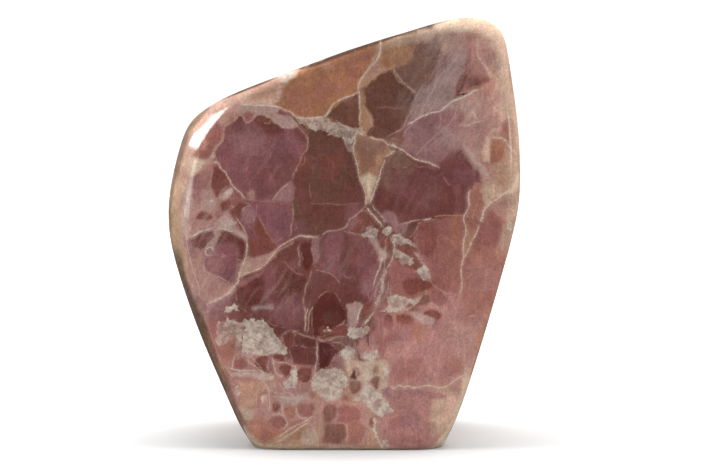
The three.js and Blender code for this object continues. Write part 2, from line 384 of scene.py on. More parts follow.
# The stone's cells, later ones over earlier ones: (colour, softness of the border, corners)
CELLS = (
    # upper left: bevel and outer cells
    # pale shell on the left shoulder bevel, partly a painted highlight where the lamp's streak falls
    ("shell", 2.0, "-47,79 -44,77 -39.4,80 -37.4,83 -36.5,88 -36,94 -40,96 -46,90"),
    ("pink", 1.2, "-39.5,96.5 -35,99.2 -30.4,101 -29.4,97.5 -29.7,95 -33,91.6 -36,93.5"),
    ("tan", 0.6, "-35,94.6 -34,97 -32.6,97 -33,94.6"),
    ("salmon", 0.8, "-33,94.2 -32.4,96.2 -31.2,95.8 -31.4,94"),
    ("rose brick", 1.0,
     "-37.4,94.2 -35,92.6 -34.3,90 -35,87.6 -36.2,85.4 -37.6,83 -41.2,82.6 -41.6,84.8 -40,87 -39,90"),
    ("peach", 0.8, "-38.6,92.5 -37.8,92.5 -38.6,86 -39.6,86"),
    ("rust", 0.8, "-41.6,85 -40,85.2 -40,82.8 -41.2,82.8"),
    ("cream", 0.8, "-45,82 -42,82.2 -38.6,81.8 -39.4,79.6 -42,78 -44.6,76.8 -46,78"),
    ("shell", 0.5,
     "-30,101.4 -25,103.8 -20.4,105.8 -18.4,104.2 -16.4,103.4 -17,101 -18,99.4 -20,98.4 -24,98 "
     "-29.2,98.2 -29.8,99.6"),
    ("peach", 1.2, "-26,100.6 -21,102.6 -18.2,101 -20,99 -25,98.8"),
    ("cream", 1.0, "-29.6,101 -26.4,102.2 -26.6,100.4 -29.4,99.6"),
    # big plum cell
    ("plum", 0.4,
     "-29.5,95 -28.5,94.8 -27.6,93.3 -26.4,93.1 -25.2,93.6 -24.2,94.8 -22.6,95.2 -20.2,94.2 -19,92.6 "
     "-17.2,91.4 -14,91.5 -12.4,92 -11.4,90.4 -10.3,88.6 -10.4,86 -12.4,82.2 -13,80.4 -14.4,77 "
     "-15.5,76 -19,73 -22,71 -27.3,71.3 -30,74.4 -32.6,78.4 -35,82 -36,83.8 -34.2,88 -33.2,91.6 "
     "-31,93.6"),
    ("dark plum", 1.6, "-31.8,93.4 -28.6,94.6 -27.8,91.4 -31.6,90.4"),
    ("maroon", 1.2, "-24.2,94.4 -20.4,93.8 -17.4,91.6 -16,88.6 -19,88.8 -24,91.4"),
    ("plum", 2, "-27.4,92.6 -24,92.4 -24.4,90.6 -27,90.8"),
    ("light plum", 2.2, "-31,90 -25,89.8 -22,87.6 -24,84 -30,84"),
    ("purple", 2.0, "-19.6,88.8 -14.4,88 -14.8,83.4 -19,83.6"),
    ("dark plum", 2.0, "-20,84 -14.4,83.4 -13.4,80.6 -15.4,76.6 -19.4,73.8"),
    ("dark plum", 2.0, "-25,82 -21,82 -21,72.6 -25,73.4"),
    ("brick", 0.4, "-24.3,95 -22,94.8 -20.2,94 -20.6,92.6 -21.6,92.8 -24,93.6"),
    ("maroon", 0.8, "-13.2,92 -10.4,90 -10.6,87 -12.6,89 -14.4,91.2"),
    # lilac fold over the plum cell
    ("lilac", 0.3,
     "-29.4,98 -25,98 -20,97.2 -18.4,96.9 -19.2,95.6 -20,94.1 -21,94.8 -22.4,95.2 -24.4,95.2 "
     "-24.6,94.2 -25.4,93.6 -26.5,93.2 -27.5,93.5 -28,94.6 -28.6,95.2 -29.4,95.1 -29.6,96.4"),
    ("rose brick", 0.8, "-28.2,95.2 -26.6,95.6 -25,95.1 -25.4,93.8 -26.4,93.4 -27.4,93.8"),
    ("plum", 0.4, "-19.2,95.2 -18.4,96.4 -17.6,96.4 -16,95.5 -14.3,94.6 -16.8,94.6 -18.6,94.7"),
    ("lilac", 0.4,
     "-19.8,94.5 -18.6,94.8 -16.8,94.5 -14.6,94.3 -13,93 -12.6,92 -14,91.5 -15.8,91.3 -17.2,91.6 "
     "-18.6,92.6 -19.8,93.4"),
    # sienna top
    ("sienna", 0.5,
     "-20,98 -18,99.2 -17,101 -17.2,103 -15.6,103.8 -14.6,105 -13,107 0,112.6 8,116 9.4,115.4 8.8,112 "
     "8,110 7.4,108 6.4,106.4 4.8,105 4,103.6 4,102 1.6,100.6 -0.4,99.4 -3,97.6 -4.8,95.2 -6.4,94.6 "
     "-10.6,94.1 -14.6,95 -16.8,96.2 -18.6,97.1"),
    ("rust", 2.5, "-17,103 -9,103.5 -8,96.5 -11,94.6 -17,97.4"),
    ("rust", 2.4, "-9,104 -3,109.5 2,109 3,104.5 -1,101 -6,97.6 -8,99"),
    ("sienna", 2.2, "-6,108.6 -1,110 1,105.6 -4,103.6"),
    ("rust", 2.0, "1,110.8 7.4,112.6 7,108.4 3.6,105.4 1.6,107"),
    ("peach", 0.5, "-6,110.4 -5,109.6 -4.6,108 -5.4,108"),
    ("cream", 0.4, "-19.6,105.6 -18,104.2 -16.4,103.8 -15.5,103.9 -14.6,105 -13,106 -12.6,107.6"),
    ("chestnut", 0.35,
     "-4.6,94.8 -3,96.2 -1.6,97.8 0,99.3 2,100.5 4.2,101.4 4.1,99.4 4.3,97 4.6,95 4.5,92.6 4.1,90.8 "
     "2.4,91.4 0,92.4 -2.4,93.4"),
    ("brown", 1.0, "-1,98.8 1.4,100.4 2.8,99.6 0.6,97.8"),
    ("olive brown", 0.8, "-4,94.8 -1.6,95 0.6,93.2 -0.6,92.8"),
    # stem of cream and tan from the top edge down
    ("tan", 0.35,
     "9.4,116.4 10.5,116.2 10.2,112 10,109.6 10.2,108.2 11.8,107.7 9.8,106.4 7.4,104.8 5.6,102.8 "
     "4.8,101.8 4,102.4 4,103.6 4.8,105 6.4,106.4 7.4,108 8,110 8.8,112"),
    ("dusty rose", 0.8, "8.6,110 9.8,109.6 9.8,107 7.4,105.8 6.6,106.4"),
    ("tawny", 0.3,
     "4.5,101.8 5.5,102 5.8,99.4 6.2,97.6 7,96 7.7,94.6 8.5,93.6 8.2,92 7,90.8 6.4,89.4 5,90.4 "
     "4.4,91.6 4.4,94 4.6,96 4.1,98.6"),
    ("tan", 0.5, "6.8,94.2 7.8,94.2 7.9,92.8 7.2,92 6.5,92.8"),
    # brown cells right of the stem
    ("chestnut", 0.35,
     "5.8,101.8 8,104 10,105.6 12.4,107.2 13.3,107.3 14,106.4 14.6,105 16.4,103.6 18.4,102 19.8,100.8 "
     "19.8,99 19,96.6 17.8,94.4 16.8,92.4 15.6,91 14,89.9 12.2,89.2 10.6,88.5 8.4,88.8 7.2,89.6 8.6,92 "
     "8.2,94.6 7,96.8 6.2,99"),
    ("umber", 1.4, "9.6,96 16,95.4 15.6,92 13,90.2 9.6,90.4 8.8,92.8"),
    ("umber", 1.6, "9,101 17,101.4 18,98.6 12,97.6 9.4,98.4"),
    ("taupe", 1.2, "15.4,99.6 19.4,100.4 19.4,97.6 17.6,94.6 16.6,95.4"),
    ("umber", 1.2, "7.4,101.6 9,102.2 8.8,98.6 7.6,98.2"),
    ("tawny", 0.5,
     "10.4,115.8 12,116.8 15,118 18,119 20,119.6 20.6,117.6 21,116.2 19.6,114 19.4,112 19,110.4 "
     "17.6,109.2 15.6,108.3 14,108.2 12.6,108.2 11,108.6 10.2,110"),
    ("sienna", 1.2, "10.8,114.6 13.4,115 13,109.6 11,109"),
    ("brown", 1.2, "16.6,117.4 20,118 20.4,115 18.4,113.4 16.6,114.6"),
    ("taupe", 1.2,
     "14.4,107.4 16,108.2 19,109.7 20,112 20.6,114.6 22.4,116.4 25,114.6 27,113.2 26.6,109.6 25.4,107 "
     "24.6,105 23,103.6 21,101.4 20,101.4 18.4,102.8 16,104.6 14.6,106"),
    ("taupe", 1.2, "19.8,116.8 22.6,117.2 24,113 21,110.6 19.6,112"),
    ("taupe", 2, "20.2,105 22.4,105.4 22.8,103.4 21,102 19.6,103.2"),
    ("umber", 1.2, "23.8,112.4 26.8,114 26.8,110.6 24.8,110"),
    ("haze", 2, "22.4,114.4 25.4,114.8 25.6,113 22.8,112.6"),
    ("lilac", 0.6, "20.3,119.6 22.4,120 25.4,120 25.6,117 24.2,114.9 22.6,115.4 21.2,117.4"),
    # haze, upper right
    ("violet", 1.6,
     "20.4,101 24.8,104.4 26.6,109.6 27,113 29,118 34,118 34.4,112 31.4,104 31,101 26.6,96.2 20.8,94.2 "
     "18.8,95"),
    ("haze", 2, "24.6,101 29.4,101 29,97.8 26,97 24.6,98.4"),
    ("plum", 1.2, "26.8,113 29.8,113 29.6,108.4 27,108.2"),
    ("violet", 1.6,
     "30.2,114.6 33.6,114.6 34.2,112 33.6,109 31.4,104.4 30.4,101.6 27.6,101 27.4,105 29.4,110"),
    ("violet", 1.6, "25.6,108.6 28,108 28.2,102.4 25,102.6"),
    ("dusty rose", 1.0, "29.4,117.6 34,117.8 34,114.2 30,113.4"),
    ("biscuit", 1.0, "26,117.8 29.2,117.6 29,112.8 27.2,113 26.6,115.4"),
    ("cream", 0.6,
     "25.2,121 37.6,123 37.4,120 36.2,119.3 36,118.4 33,118.2 30,117.8 27.6,117.6 26,117.8 25.2,118.4"),
    ("ochre cream", 0.6, "28.4,121.6 31,122 31,119.8 28.6,119.6"),
    ("peach", 0.6, "32,122 37,122.6 36.6,120 32.4,120"),
    ("rose brick", 1.4,
     "34.5,118 36.9,117.8 37,112.4 37.6,110 39,108 40,106 40.3,104.6 38.6,103.4 36.6,102.4 34.6,101.8 "
     "33,101 31.2,100.6 31,102.6 31.8,104.6 33,106.6 34,109 34.4,112 34.2,115"),
    ("rose", 1.0, "35.6,114 37,114 37.8,109.6 39.8,106.6 38.4,104.4 36,105.4 35.4,109"),
    ("dusty rose", 1.4, "34.8,118 36.6,117.6 36.4,113.4 34.8,113.6"),
    ("maroon", 0.7, "31.1,102.6 31.9,104.6 33.4,107 34.2,107 33.8,104.6 32.8,101.8 31.3,101"),
    ("maroon", 1.2, "34,105.4 37.4,105.6 40,104.8 38.4,103.4 34.6,102.2"),
    ("deep maroon", 0.4, "30.7,99.9 31.2,100.6 33,101 34.3,100.9 33.4,100.1"),
    ("pink", 2, "37.4,119.6 42,120 44,116 43.4,112 37.4,113.6"),
    ("dusty rose", 0.8,
     "37.5,113.6 39.4,113.6 41,112.6 43.2,111.6 43.6,109 43,106.6 41.4,106 40.2,107.2 39.4,108.4 "
     "38.2,109.8 37.5,111.4"),
    ("tan", 1.0, "40.4,109 43.2,110 43.6,106 42,104.6 40.6,105.6"),
    ("shell", 1.6, "43,119 45.6,114 46.6,107.4 45.2,103.6 44.2,106 43.6,111"),
    ("tawny", 0.5, "45.4,107 46.8,107 47.2,103 46,103"),
    ("shell", 1.4, "42.4,104.6 46.4,104 46.6,100.4 43,100.6"),
    ("pink", 1.2, "33,100.8 38,101.4 38,95 35,94.4 33,97"),
    ("rose", 1.2, "38.4,101.6 42,102.6 43.8,99.6 42.6,95.4 39,95.4"),
    ("salmon brick", 0.8, "39,103.2 42,104.4 42.4,101.4 39.4,100.8"),
    ("lilac", 1.5, "28.6,97.4 31,99 34.4,99.6 35,96.6 31,95.8"),
    ("shell", 1.2, "43,97.6 47.6,98 48,94 44.6,93.6 41,95"),
    ("shell", 1.2, "46,100.6 47.4,100.8 47.6,97.6 46.4,97.6"),
    ("dusty rose", 1.4, "37.4,95 43.6,95.2 43.8,92.6 42.8,90.8 41.4,89.4 39.6,90.4 37.8,92.4"),
    ("salmon brick", 1, "43.8,92.6 44.8,93.5 46,93.8 47.6,92.8 48.2,88.6 47.4,86 46,87 44.6,88.4 44,90"),
    ("shell", 0.8, "47.4,97 49.4,97 49.4,85 48,84.6 47.7,89"),
    # mauve ground below the bright vein
    ("mauve", 1.2, "16.8,92.4 19.4,93 25,95.3 27.4,96 28,90 30,86 27,81 20,83.4 15.4,86.2 15,88.6"),
    ("mauve", 2, "19.6,92.4 22.8,93 23.4,88.8 20.4,88.2"),
    ("purple", 1.2, "21.8,94.2 25.6,95 25.2,92.4 22.2,92"),
    ("violet", 1.0, "25.6,91.4 29.6,90.6 29.4,86.4 26,87"),
    ("light plum", 0.9, "27.3,92 27.3,95.8 30,96.6 33,95.8 33.2,92.6 31,91.4"),
    ("brown", 0.7, "11.4,87.4 12.4,88.4 15,89.6 16.6,91 16.8,88 15.4,86.4 13,86.2"),
    ("mauve", 2, "30,91.4 36.6,92.6 38,92 38,90 36.4,88 31,88.4"),
    ("mauve", 2, "28.6,88.6 33,88.4 33.4,84.6 29,83.6"),
    ("dusty rose", 0.9, "32.4,91.6 33.4,93 37,94.6 37.6,93 34,91.7"),
    ("dusty rose", 1.0, "33,90 36.4,90 36,87 33,87"),
    ("mauve", 2, "22,86 27,85.6 26.6,82 23,82"),
    ("taupe", 0.4,
     "11.4,80.6 11.8,82.7 13,83 14.8,84.7 15.6,84.7 17.4,83.6 19.2,82.4 20.4,81.2 19,80.6 15,80.3"),
    # wedge
    ("tawny", 0.3,
     "3.1,90 4.8,90.4 6.8,89.2 9,88.5 11.4,87.7 12.2,86.6 13,85.2 14.4,84.8 13.2,84.2 12,83.4 11,83 "
     "10.8,80.6 10.2,78 9.4,75.4 8.6,73.6 7.7,71 6.6,69.8 6.4,72 5.6,75.2 4.4,77 4.1,79 3.5,81 2.9,83 "
     "2.5,85 2.9,87.4"),
    ("taupe", 2, "4.2,88.6 11.4,87.4 12,85.6 10.6,84.4 4,84.4"),
    ("brown", 2, "4.2,83.8 9,84 9,80 5,80"),
    ("cream", 1.6, "4.8,76.8 5.8,75 6.5,71.8 7.6,71.4 8.6,74 9.4,76.6 7,78"),
    # umber cell
    ("umber", 0.35,
     "-9.9,91 -9,91.2 -6.8,91 -5.4,90.2 -4,89.4 -2.6,88.6 -0.8,88.6 0.2,86.6 1,85.2 2.4,84.8 2.8,83 "
     "3.6,80.4 4.1,77.4 5.3,75 6.2,72.4 6.4,69.4 5,68.4 3.6,66.8 2,65.8 1,64.2 0,63.2 -3.8,62.5 "
     "-6.6,61.2 -9,61.2 -12.2,61.4 -13.4,64 -14.4,68 -13.8,73.8 -14.3,76.6 -13,80.2 -11.3,84.4 "
     "-10.2,87"),
    ("umber", 1.6, "-9.4,90.8 -6.6,90.8 -1,88 1,84.6 -2,84.6 -9,86"),
    ("brick", 2.2, "-7,82.6 -1,83.4 -1,78 -5.4,77.4"),
    ("dark umber", 1.4, "0,84.4 2.6,84 3.8,79 3.4,75 0,77"),
    ("brick", 1.0, "-11,85.6 -9.9,86 -10,80 -12.6,80"),
    ("maroon", 1.4, "-14,77.4 -10.6,77.4 -10.8,70.4 -13.8,70.6"),
    ("maroon", 1.8, "0,75 4.8,75 5,70.4 0.4,70.2"),
    ("maroon", 1.4, "-10,69.6 -6.4,69.6 -6,63.4 -9,63.4"),
    ("maroon", 1.6, "-5.6,69.6 -0.6,69.4 -0.6,64 -5.6,63.4"),
    ("plum", 1.2, "1,69.8 5.6,69.6 5,67.6 2.4,66 0.6,66"),
    ("purple", 0.9, "-13.6,66 -11.4,65 -11.6,61.6 -13.4,62"),
    # pale triangle and purple cell left of it
    ("mauve", 0.8,
     "-19.6,70.9 -18.6,72.6 -17.2,74.2 -16,75.4 -14.9,76.1 -14,75.2 -13.8,73.8 -14.3,72.2 -14.2,70.8 "
     "-15.6,71.1 -17.4,71"),
    ("plum", 0.5,
     "-24.5,70.8 -19.6,70.6 -14.4,70.6 -14.6,65 -15,61.6 -17.6,60.4 -19.4,58.8 -21,61 -24,66.4"),
    ("purple", 1.2, "-20.8,69 -15.4,69 -15.4,62 -18,60.8 -20.8,63"),
    ("brick", 0.8, "-26.8,59.6 -24.6,66 -23.6,66.2 -20,60 -19.4,58 -21,56.6 -24,55.8 -26.6,56"),
    # left: star
    ("dusty rose", 1.2, "-46,80 -42.6,77 -38,81 -36.8,73 -35.6,70.8 -36.4,66 -43,60.4 -46,62"),
    ("light plum", 0.7,
     "-42.6,77 -40.4,78.6 -38.6,80.2 -37.4,81 -36.7,80.4 -36.9,77 -38.6,74 -40,71 -42.4,71.4"),
    ("rose", 0.8, "-39.8,79 -37.2,80.6 -37,73 -38.6,71.6 -39.6,74"),
    ("lilac white", 0.8, "-45.2,75 -42.8,76.4 -42.6,69 -43.2,61 -45.2,62"),
    ("lilac", 1.0, "-39.6,73 -36.8,73.4 -35.6,70.6 -36.6,68.2 -39.6,69"),
    ("brick", 0.4, "-41.4,66 -40.6,67.4 -39.6,68.3 -38.4,68 -37.4,67 -36.5,66.1 -38,65.6 -40,65.5"),
    ("rose", 0.6, "-41.6,65 -36.8,65 -37,63.8 -40.6,62.4 -42,62.6"),
    ("brick", 0.4,
     "-36.4,80.4 -35.4,81 -34,79.6 -32.6,77.8 -31.5,75.6 -32.8,74.7 -34.4,73.5 -35,71.7 -35.7,71.2 "
     "-36.6,73 -37,76"),
    ("lilac white", 0.4,
     "-34.9,71.5 -34.2,73 -32.8,74.1 -31.4,74.7 -30.8,74 -31,73 -31.6,72.2 -33,71.6 -34,71"),
    ("brick", 0.5, "-34.6,70.4 -33,71 -31.6,71.8 -31.3,70 -32.2,68.5 -33.4,67.9 -34.4,68.4 -34.8,69.6"),
    ("rose brick", 0.5, "-31.2,73.2 -30,72.4 -28.4,71.8 -27.4,71 -28.4,70.6 -30,70 -31.2,69.4 -31.6,71.2"),
    ("dusty rose", 0.7, "-27.5,72.4 -26.4,74.2 -25.2,74.2 -24.8,72.6 -25.2,71.3 -26.6,71"),
    ("brick", 0.5,
     "-31.8,68.6 -30,69.6 -28.6,70.4 -27,70.2 -26.6,69.8 -27.6,69.2 -28.6,67.6 -29,66 -28,64.4 "
     "-27.2,62.9 -29,62.9 -30,65 -31.6,66.6"),
    ("mauve", 0.6, "-28.7,67 -28,69 -26.4,69.4 -25,68.6 -24.9,66.4 -25.6,64.6 -27,64.6 -28.4,65.2"),
    ("purple", 0.9, "-27.2,63 -25,63.6 -24.6,61 -26.4,60"),
    ("lilac", 0.4,
     "-37.6,63.2 -36,65 -34.8,66.2 -33.6,68 -32.3,68.4 -32.2,67 -31.2,66.2 -30.2,65 -29.6,63.4 "
     "-28,62.2 -26.8,60.4 -27,59.4 -29,61.2 -31,62 -32.6,62.7 -34.2,63 -35.2,62.4 -36.2,62.6"),
    ("lilac", 0.5,
     "-36.4,63 -35,62.6 -35,60.4 -35.8,58.4 -36.3,57.2 -37.4,58 -38.4,57.6 -37.4,59.4 -36.4,60.8"),
    ("maroon", 0.4,
     "-43.2,59.6 -41.4,60.4 -40.4,61.8 -39,62.3 -37.4,62.6 -36.7,62.4 -36.5,61 -37.2,59.8 -38,58.4 "
     "-38.8,57.2 -40,56.8 -41.4,57.6"),
    ("light plum", 0.8, "-43.2,59.4 -41.2,60.2 -40.6,57.6 -41.8,57.6"),
    ("purple", 0.8, "-39,61.6 -37.2,61.8 -37.4,60 -38.8,58"),
    ("maroon", 0.4,
     "-34.8,62 -33.6,62.5 -32.4,62.2 -31,61.6 -29.8,60.7 -28.4,59.8 -27,58.8 -26.9,57.4 -27.6,55.6 "
     "-28.4,54 -31,54.6 -35,55 -36,57 -35.2,60"),
    ("plum", 0.9, "-34.8,58.6 -30.4,58.8 -29,56 -30,54.8 -35,55.2 -35.8,57"),
    ("deep maroon", 0.7, "-29.4,60 -27.2,58.8 -27.2,56.4 -28.6,56"),
    ("plum", 0.4,
     "-39.2,53.8 -38.2,54.9 -36.6,55.4 -35,55.2 -31,54.8 -28.4,54.2 -28.8,52 -29.6,50 -30.6,48.2 "
     "-31.4,47.4 -33.4,48 -36,49.2 -38.6,50.8"),
    ("light plum", 1.0, "-38.6,54 -35,54.6 -35,51 -37.6,51"),
    ("purple", 1.2, "-33.6,50.6 -30,50.4 -30.8,48 -33.4,48.6"),
    ("dusty rose", 0.8,
     "-44.4,57 -39.6,56.6 -39.2,53.4 -38.4,50.4 -36,49.2 -31.4,47.2 -30.4,45.4 -33,44 -38,42.2 -43,46"),
    ("rose", 0.9, "-38,47.6 -34,47.4 -33.6,44.8 -37.4,43.4 -39,45"),
    ("light plum", 0.9, "-43,56.6 -40,56.8 -39.6,54.6 -42,54.6"),
    ("dusty rose", 0.35,
     "-27.9,54.2 -27.2,55.2 -25,55.3 -22.6,55.8 -20.4,56.6 -19,57.6 -18.8,56.8 -20.4,55.2 -21.8,53.4 "
     "-23.4,52 -25.4,51.2 -27.4,50.6 -28.9,50 -28.6,52"),
    ("biscuit", 0.6, "-28.6,54 -26.2,54.8 -26,52.4 -28,51"),
    # middle left: maroon
    ("maroon", 0.4,
     "-29.6,49.4 -28.6,49.8 -25.6,51 -23,52.2 -21,54.2 -19.4,55 -17,57.3 -14.8,58.6 -13,59.7 "
     "-12.2,59.2 -12.4,57.8 -12.8,55 -12.4,52 -10.8,51.4 -9.9,49.6 -10.7,47 -11,44 -10.8,41 -10.7,38 "
     "-11.2,34.8 -13.6,34.4 -15.4,34.6 -17.6,35.3 -20.4,36.1 -21.8,37.2 -22.8,37.8 -24.6,37.1 "
     "-25.4,37.8 -26.4,39.2 -29,40.9 -30.2,42.6 -30.2,45.4 -29.6,47.4"),
    ("deep maroon", 1.4, "-28.8,46.4 -25,48.6 -22.6,50 -22.4,43 -27,42"),
    ("rose brick", 0.8, "-29.2,47.8 -26,50.2 -22.8,51.8 -22.4,51 -25.4,49.2 -28.6,46.8"),
    ("umber", 0.8, "-30,43.6 -28.4,44 -28.4,41.2 -29.8,41.6"),
    ("plum", 1.2, "-21.8,52 -20.2,52 -20.2,38 -21.6,38"),
    ("deep maroon", 1.4, "-16.4,51.4 -11.2,49.6 -11.4,45.6 -15.8,45.8"),
    ("plum", 1.5, "-15.6,44.2 -12.4,44.6 -12.6,41.6 -15.2,41.4"),
    ("plum", 1.2, "-19.6,41.6 -12,41 -11.6,36.6 -15,35.4 -19.4,37"),
    ("plum", 0.8, "-17,53.8 -12.8,53.4 -12.6,51.6 -14.6,51.2"),
    ("violet", 0.8, "-25.6,40.6 -24.6,41.5 -22,41.4 -20.3,41.4 -20.5,40.3 -23,40.2 -24.6,40"),
    ("dark plum", 0.6, "-26.2,39 -25,39.8 -20.4,39.8 -20.4,37.2 -24,37.6"),
    ("deep maroon", 0.3,
     "-11.8,58.6 -10.8,59.5 -9.6,59.2 -9,57.6 -8.4,56 -8.4,54.4 -9,52.6 -9.8,50.8 -10.6,51.6 "
     "-11.4,53.4 -11.8,56"),
    # middle: brown and maroon
    ("plum", 1.4,
     "-7,60.4 -5.6,61.4 -4,62.1 -1,62.4 2,62 4,61 5.4,60.2 5,57 4.8,52 3,49.4 1.4,49 -0.6,50 -2.8,50 "
     "-4.8,50.8 -6.6,51.3 -8,51.4 -7.4,54"),
    ("umber", 1.5, "-6.9,60 -5.6,61.2 -5.2,58 -5.4,54 -6.8,53.6"),
    ("dark plum", 1.4, "-0.4,61 2.4,60.8 3.6,58 4,52 2,50 -0.4,51"),
    ("maroon", 0.8, "3.2,60.4 5,60 5,56 3.4,55.4"),
    ("mauve", 0.5, "-8.8,60.4 -7.1,60.4 -7,56 -7.4,53.6 -8.5,51.6 -8.5,54.4 -8.9,57"),
    ("dark plum", 0.8,
     "-9.5,50.9 -8.4,51.2 -6,50.8 -4.6,50.2 -3,49.5 -2.2,48 -3.4,46.8 -5.6,46 -8.8,46 -9.9,47.6"),
    ("maroon", 0.6, "-5,50.2 -3,49.4 -1.8,48.4 -1.4,46.6 -5,46.8"),
    ("dark plum", 1.0, "-9.8,46 -6.4,46 -6.6,41 -9.4,40"),
    ("deep maroon", 0.5,
     "-8.8,40.4 -6.8,44 -4.6,45.6 -2,44.6 -0.6,42 0.4,39.6 0.2,37 -0.8,36.2 -2.6,35.2 -4,33.4 "
     "-6.6,32.4 -8.6,33"),
    ("maroon", 1.0, "-5,45.8 0.6,46 0.6,41.6 -1,42 -3,45"),
    ("dark umber", 0.8, "-5,39 -2.6,39 -2.4,36 -5,36"),
    ("maroon", 1.0, "0.4,50 4.8,50.4 5,44 1,42.6"),
    ("plum", 1.6, "5,60 8.6,57.6 9.4,52 9,46 8.8,42.6 5.6,44 5,50"),
    ("dark plum", 0.9, "5.2,60 8,58 8.2,53 5.6,52.6"),
    ("mauve", 1, "5.6,46.2 7,46.4 7,44.6 5.8,44.6"),
    ("brick", 0.5,
     "2.4,65.8 4.4,67.4 6.1,68.4 7.4,67.6 8.8,66 9.9,64.6 8.4,63.9 6.8,63.5 5.6,62.6 3.8,61.6 1.8,62.2 "
     "0.8,63.2"),
    ("mauve", 0.6, "1.6,65 3.4,65.8 3.6,63.2 1.8,62.8"),
    ("brick", 0.4,
     "9.8,60.4 11.4,60.3 12.6,60 13.4,58.6 13.9,57.4 13.6,56.6 12.6,56.2 11.6,57 10.6,58.4 9.8,59.4"),
    ("umber", 0.5, "11.6,57.2 13.4,58.2 13.7,56.9 12.6,56.4"),
    ("lilac", 0.5, "6.8,60.2 9.4,60.2 9.8,58 11.4,56.2 11.2,55 10.3,54.2 9.2,55.4 8.2,57"),
    ("lilac white", 0.5, "9.2,57 11.2,56.4 11,55.2 10.3,54.6"),
    # middle right: dark maroon
    ("maroon", 1.8,
     "10.2,80 11.6,80.6 15,80.2 19,80.5 22,81 24,80.6 26,79.5 27.4,78.4 29,76.4 31,74.2 31.6,70 31,67 "
     "29,66.7 27,66.4 25,65.9 21.6,65.4 19,65.2 16,65.2 15,66.6 14,67.6 12,68 10.4,67.4 9.6,68 "
     "8.8,69.4 8.8,73 10.2,76.4"),
    ("dark plum", 2, "12.6,79.6 20,80 24,80.2 28,76 26,70 18,71 13,74"),
    ("taupe", 1.6, "14.8,80 19.4,80 18.6,77.8 15,78"),
    ("dark plum", 1.8, "20,75 28,74 28,69 20,69"),
    ("taupe", 0.7, "10.4,80.2 12.6,80.2 12.8,75 11.4,74.6 10.4,76.4"),
    ("dark umber", 0.8, "9,75 10.2,76 10.4,68.4 9.2,69"),
    ("dark plum", 2.4,
     "26.4,80.6 27.6,83.4 31,85 33.4,84.9 36,82 38,80 38.8,77 38.4,75.6 36.8,76 34.8,73.4 34.2,70 "
     "33.8,67.2 31,67.2 31.2,73.4 29,77"),
    ("dark plum", 1.0, "33.6,83.6 35.4,82.6 38,79.6 35.4,79.6"),
    ("purple", 1.2, "32.4,79 36.6,79 36.4,76.4 33,76"),
    ("salmon brick", 0.6,
     "35.4,73.6 37,76 38.6,75.6 39.8,74 39.8,70 38.8,67.4 36.4,65.6 34.6,66.4 34.4,70"),
    ("mauve", 0.8,
     "10.6,67 12,68.2 14,67.8 15,66.6 16,65.2 17.6,65 18,64.2 17.2,61.6 14.6,61.6 13,64.4 11,65.4"),
    ("brick", 0.4, "14.9,63.6 15.9,63.8 16.2,62.6 15.2,62.2"),
    ("maroon", 0.4, "17.8,64.9 20.3,65 20.5,63.6 19.8,61.8 18.8,60.8 17.4,61.4 17.5,63"),
    # right: salmon brick
    ("rose brick", 0.6,
     "20.5,64.6 22,64.6 25,65.4 29,66.3 33.6,66.6 34.2,64 33.6,58 33,54 33,47.6 31,45 28.8,44.6 "
     "26,46.4 24.9,47.8 23.4,51 21.6,55.4 20.2,58 19.9,61.6"),
    ("salmon brick", 1.8, "26,60 32,60 32.4,50 28,50"),
    ("brick", 1.8, "21,63.6 26.4,63.6 25.6,57 21.4,57.4"),
    ("rust", 1.2, "29.8,66 33,66 32.8,58 30.6,58"),
    ("salmon brick", 0.7,
     "36.8,61.4 38.4,64.2 38.8,66 41.6,68.2 43.6,66 45.4,63.4 47.6,61 47.4,56 44,45 40,40 34.4,42 "
     "33.8,48 34,55"),
    ("rose brick", 1.2, "37.6,62 40,66 42,67 44.6,64 46.8,60.6 44,58 39,58"),
    ("rose", 1.5, "36,52 44,52 42,46 36,45"),
    ("olive tan", 0.5, "33.7,62.4 35,62.6 35.6,60.6 34.4,57 33.6,57.4"),
    ("brick", 0.4, "15.4,57.2 16.8,57.6 18.6,56.4 19.2,54.8 18.2,55"),
    ("rose brick", 0.4,
     "12.9,44.5 16,44.3 19,43.9 22,44.9 25,46.1 25.3,47.4 24.6,48 23.4,48.6 22.4,48.4 20.6,50 "
     "19.4,51.6 17.4,52.4 15.6,53.8 14.4,55 13.4,54 12.8,51 13,47.6"),
    ("brick", 1.0, "16.8,48.6 22,49 25,47.6 24.6,46 19,44.2 17,44.6"),
    ("maroon", 0.5, "19,47.8 20,49.6 21.4,49 20.6,47.4"),
    # salmon cell on the right edge
    ("tan", 0.4,
     "40.4,80 40.7,84 40.7,87 41.5,88.5 42.4,88.3 44,87.9 45,87.4 45.8,86.4 46.8,85.2 48.2,84.4 "
     "49,82.6 49.4,80.6 49,78.6 48.2,77 47,75.6 45.6,74.3 43.6,74.8 42.6,76.4 41.4,78.4"),
    ("rust", 1, "40.8,84 41,87 42,88 44.6,87.2 45.2,84 43.6,81.8 41,82"),
    ("peach", 1.0, "45,84.6 48,83.6 48.6,80 45.6,80"),
    ("peach", 0.6, "47,79 48.2,78.6 47.8,77.2 46.8,77.4"),
    ("cream", 0.6, "48.9,80 48.4,77.4 47,75.4 45.4,73.6 43,71.8 44.6,71.6 47.4,73 49.6,74.6 49.6,79"),
    ("biscuit", 1.2, "39.6,77.4 41.4,77.4 43,75 45,74.4 42,71.4 40,70 39.2,73"),
    ("dusty rose", 1.0, "38.6,81.4 41.4,80.4 42,77 40.4,75.4 38.6,76.6"),
    ("dusty rose", 0.6,
     "41.4,69.2 43,71 45.4,73 47.4,73.2 48.8,72.6 48.6,67 47.8,65 46.4,66 45,65.2 43.8,66.4 42.4,68"),
    ("shell", 0.6, "47.2,72.6 49.2,72.6 49,66 47.6,66.4"),
    ("tan", 0.5, "45,66 46.4,66.6 47.4,65 45.8,64.4"),
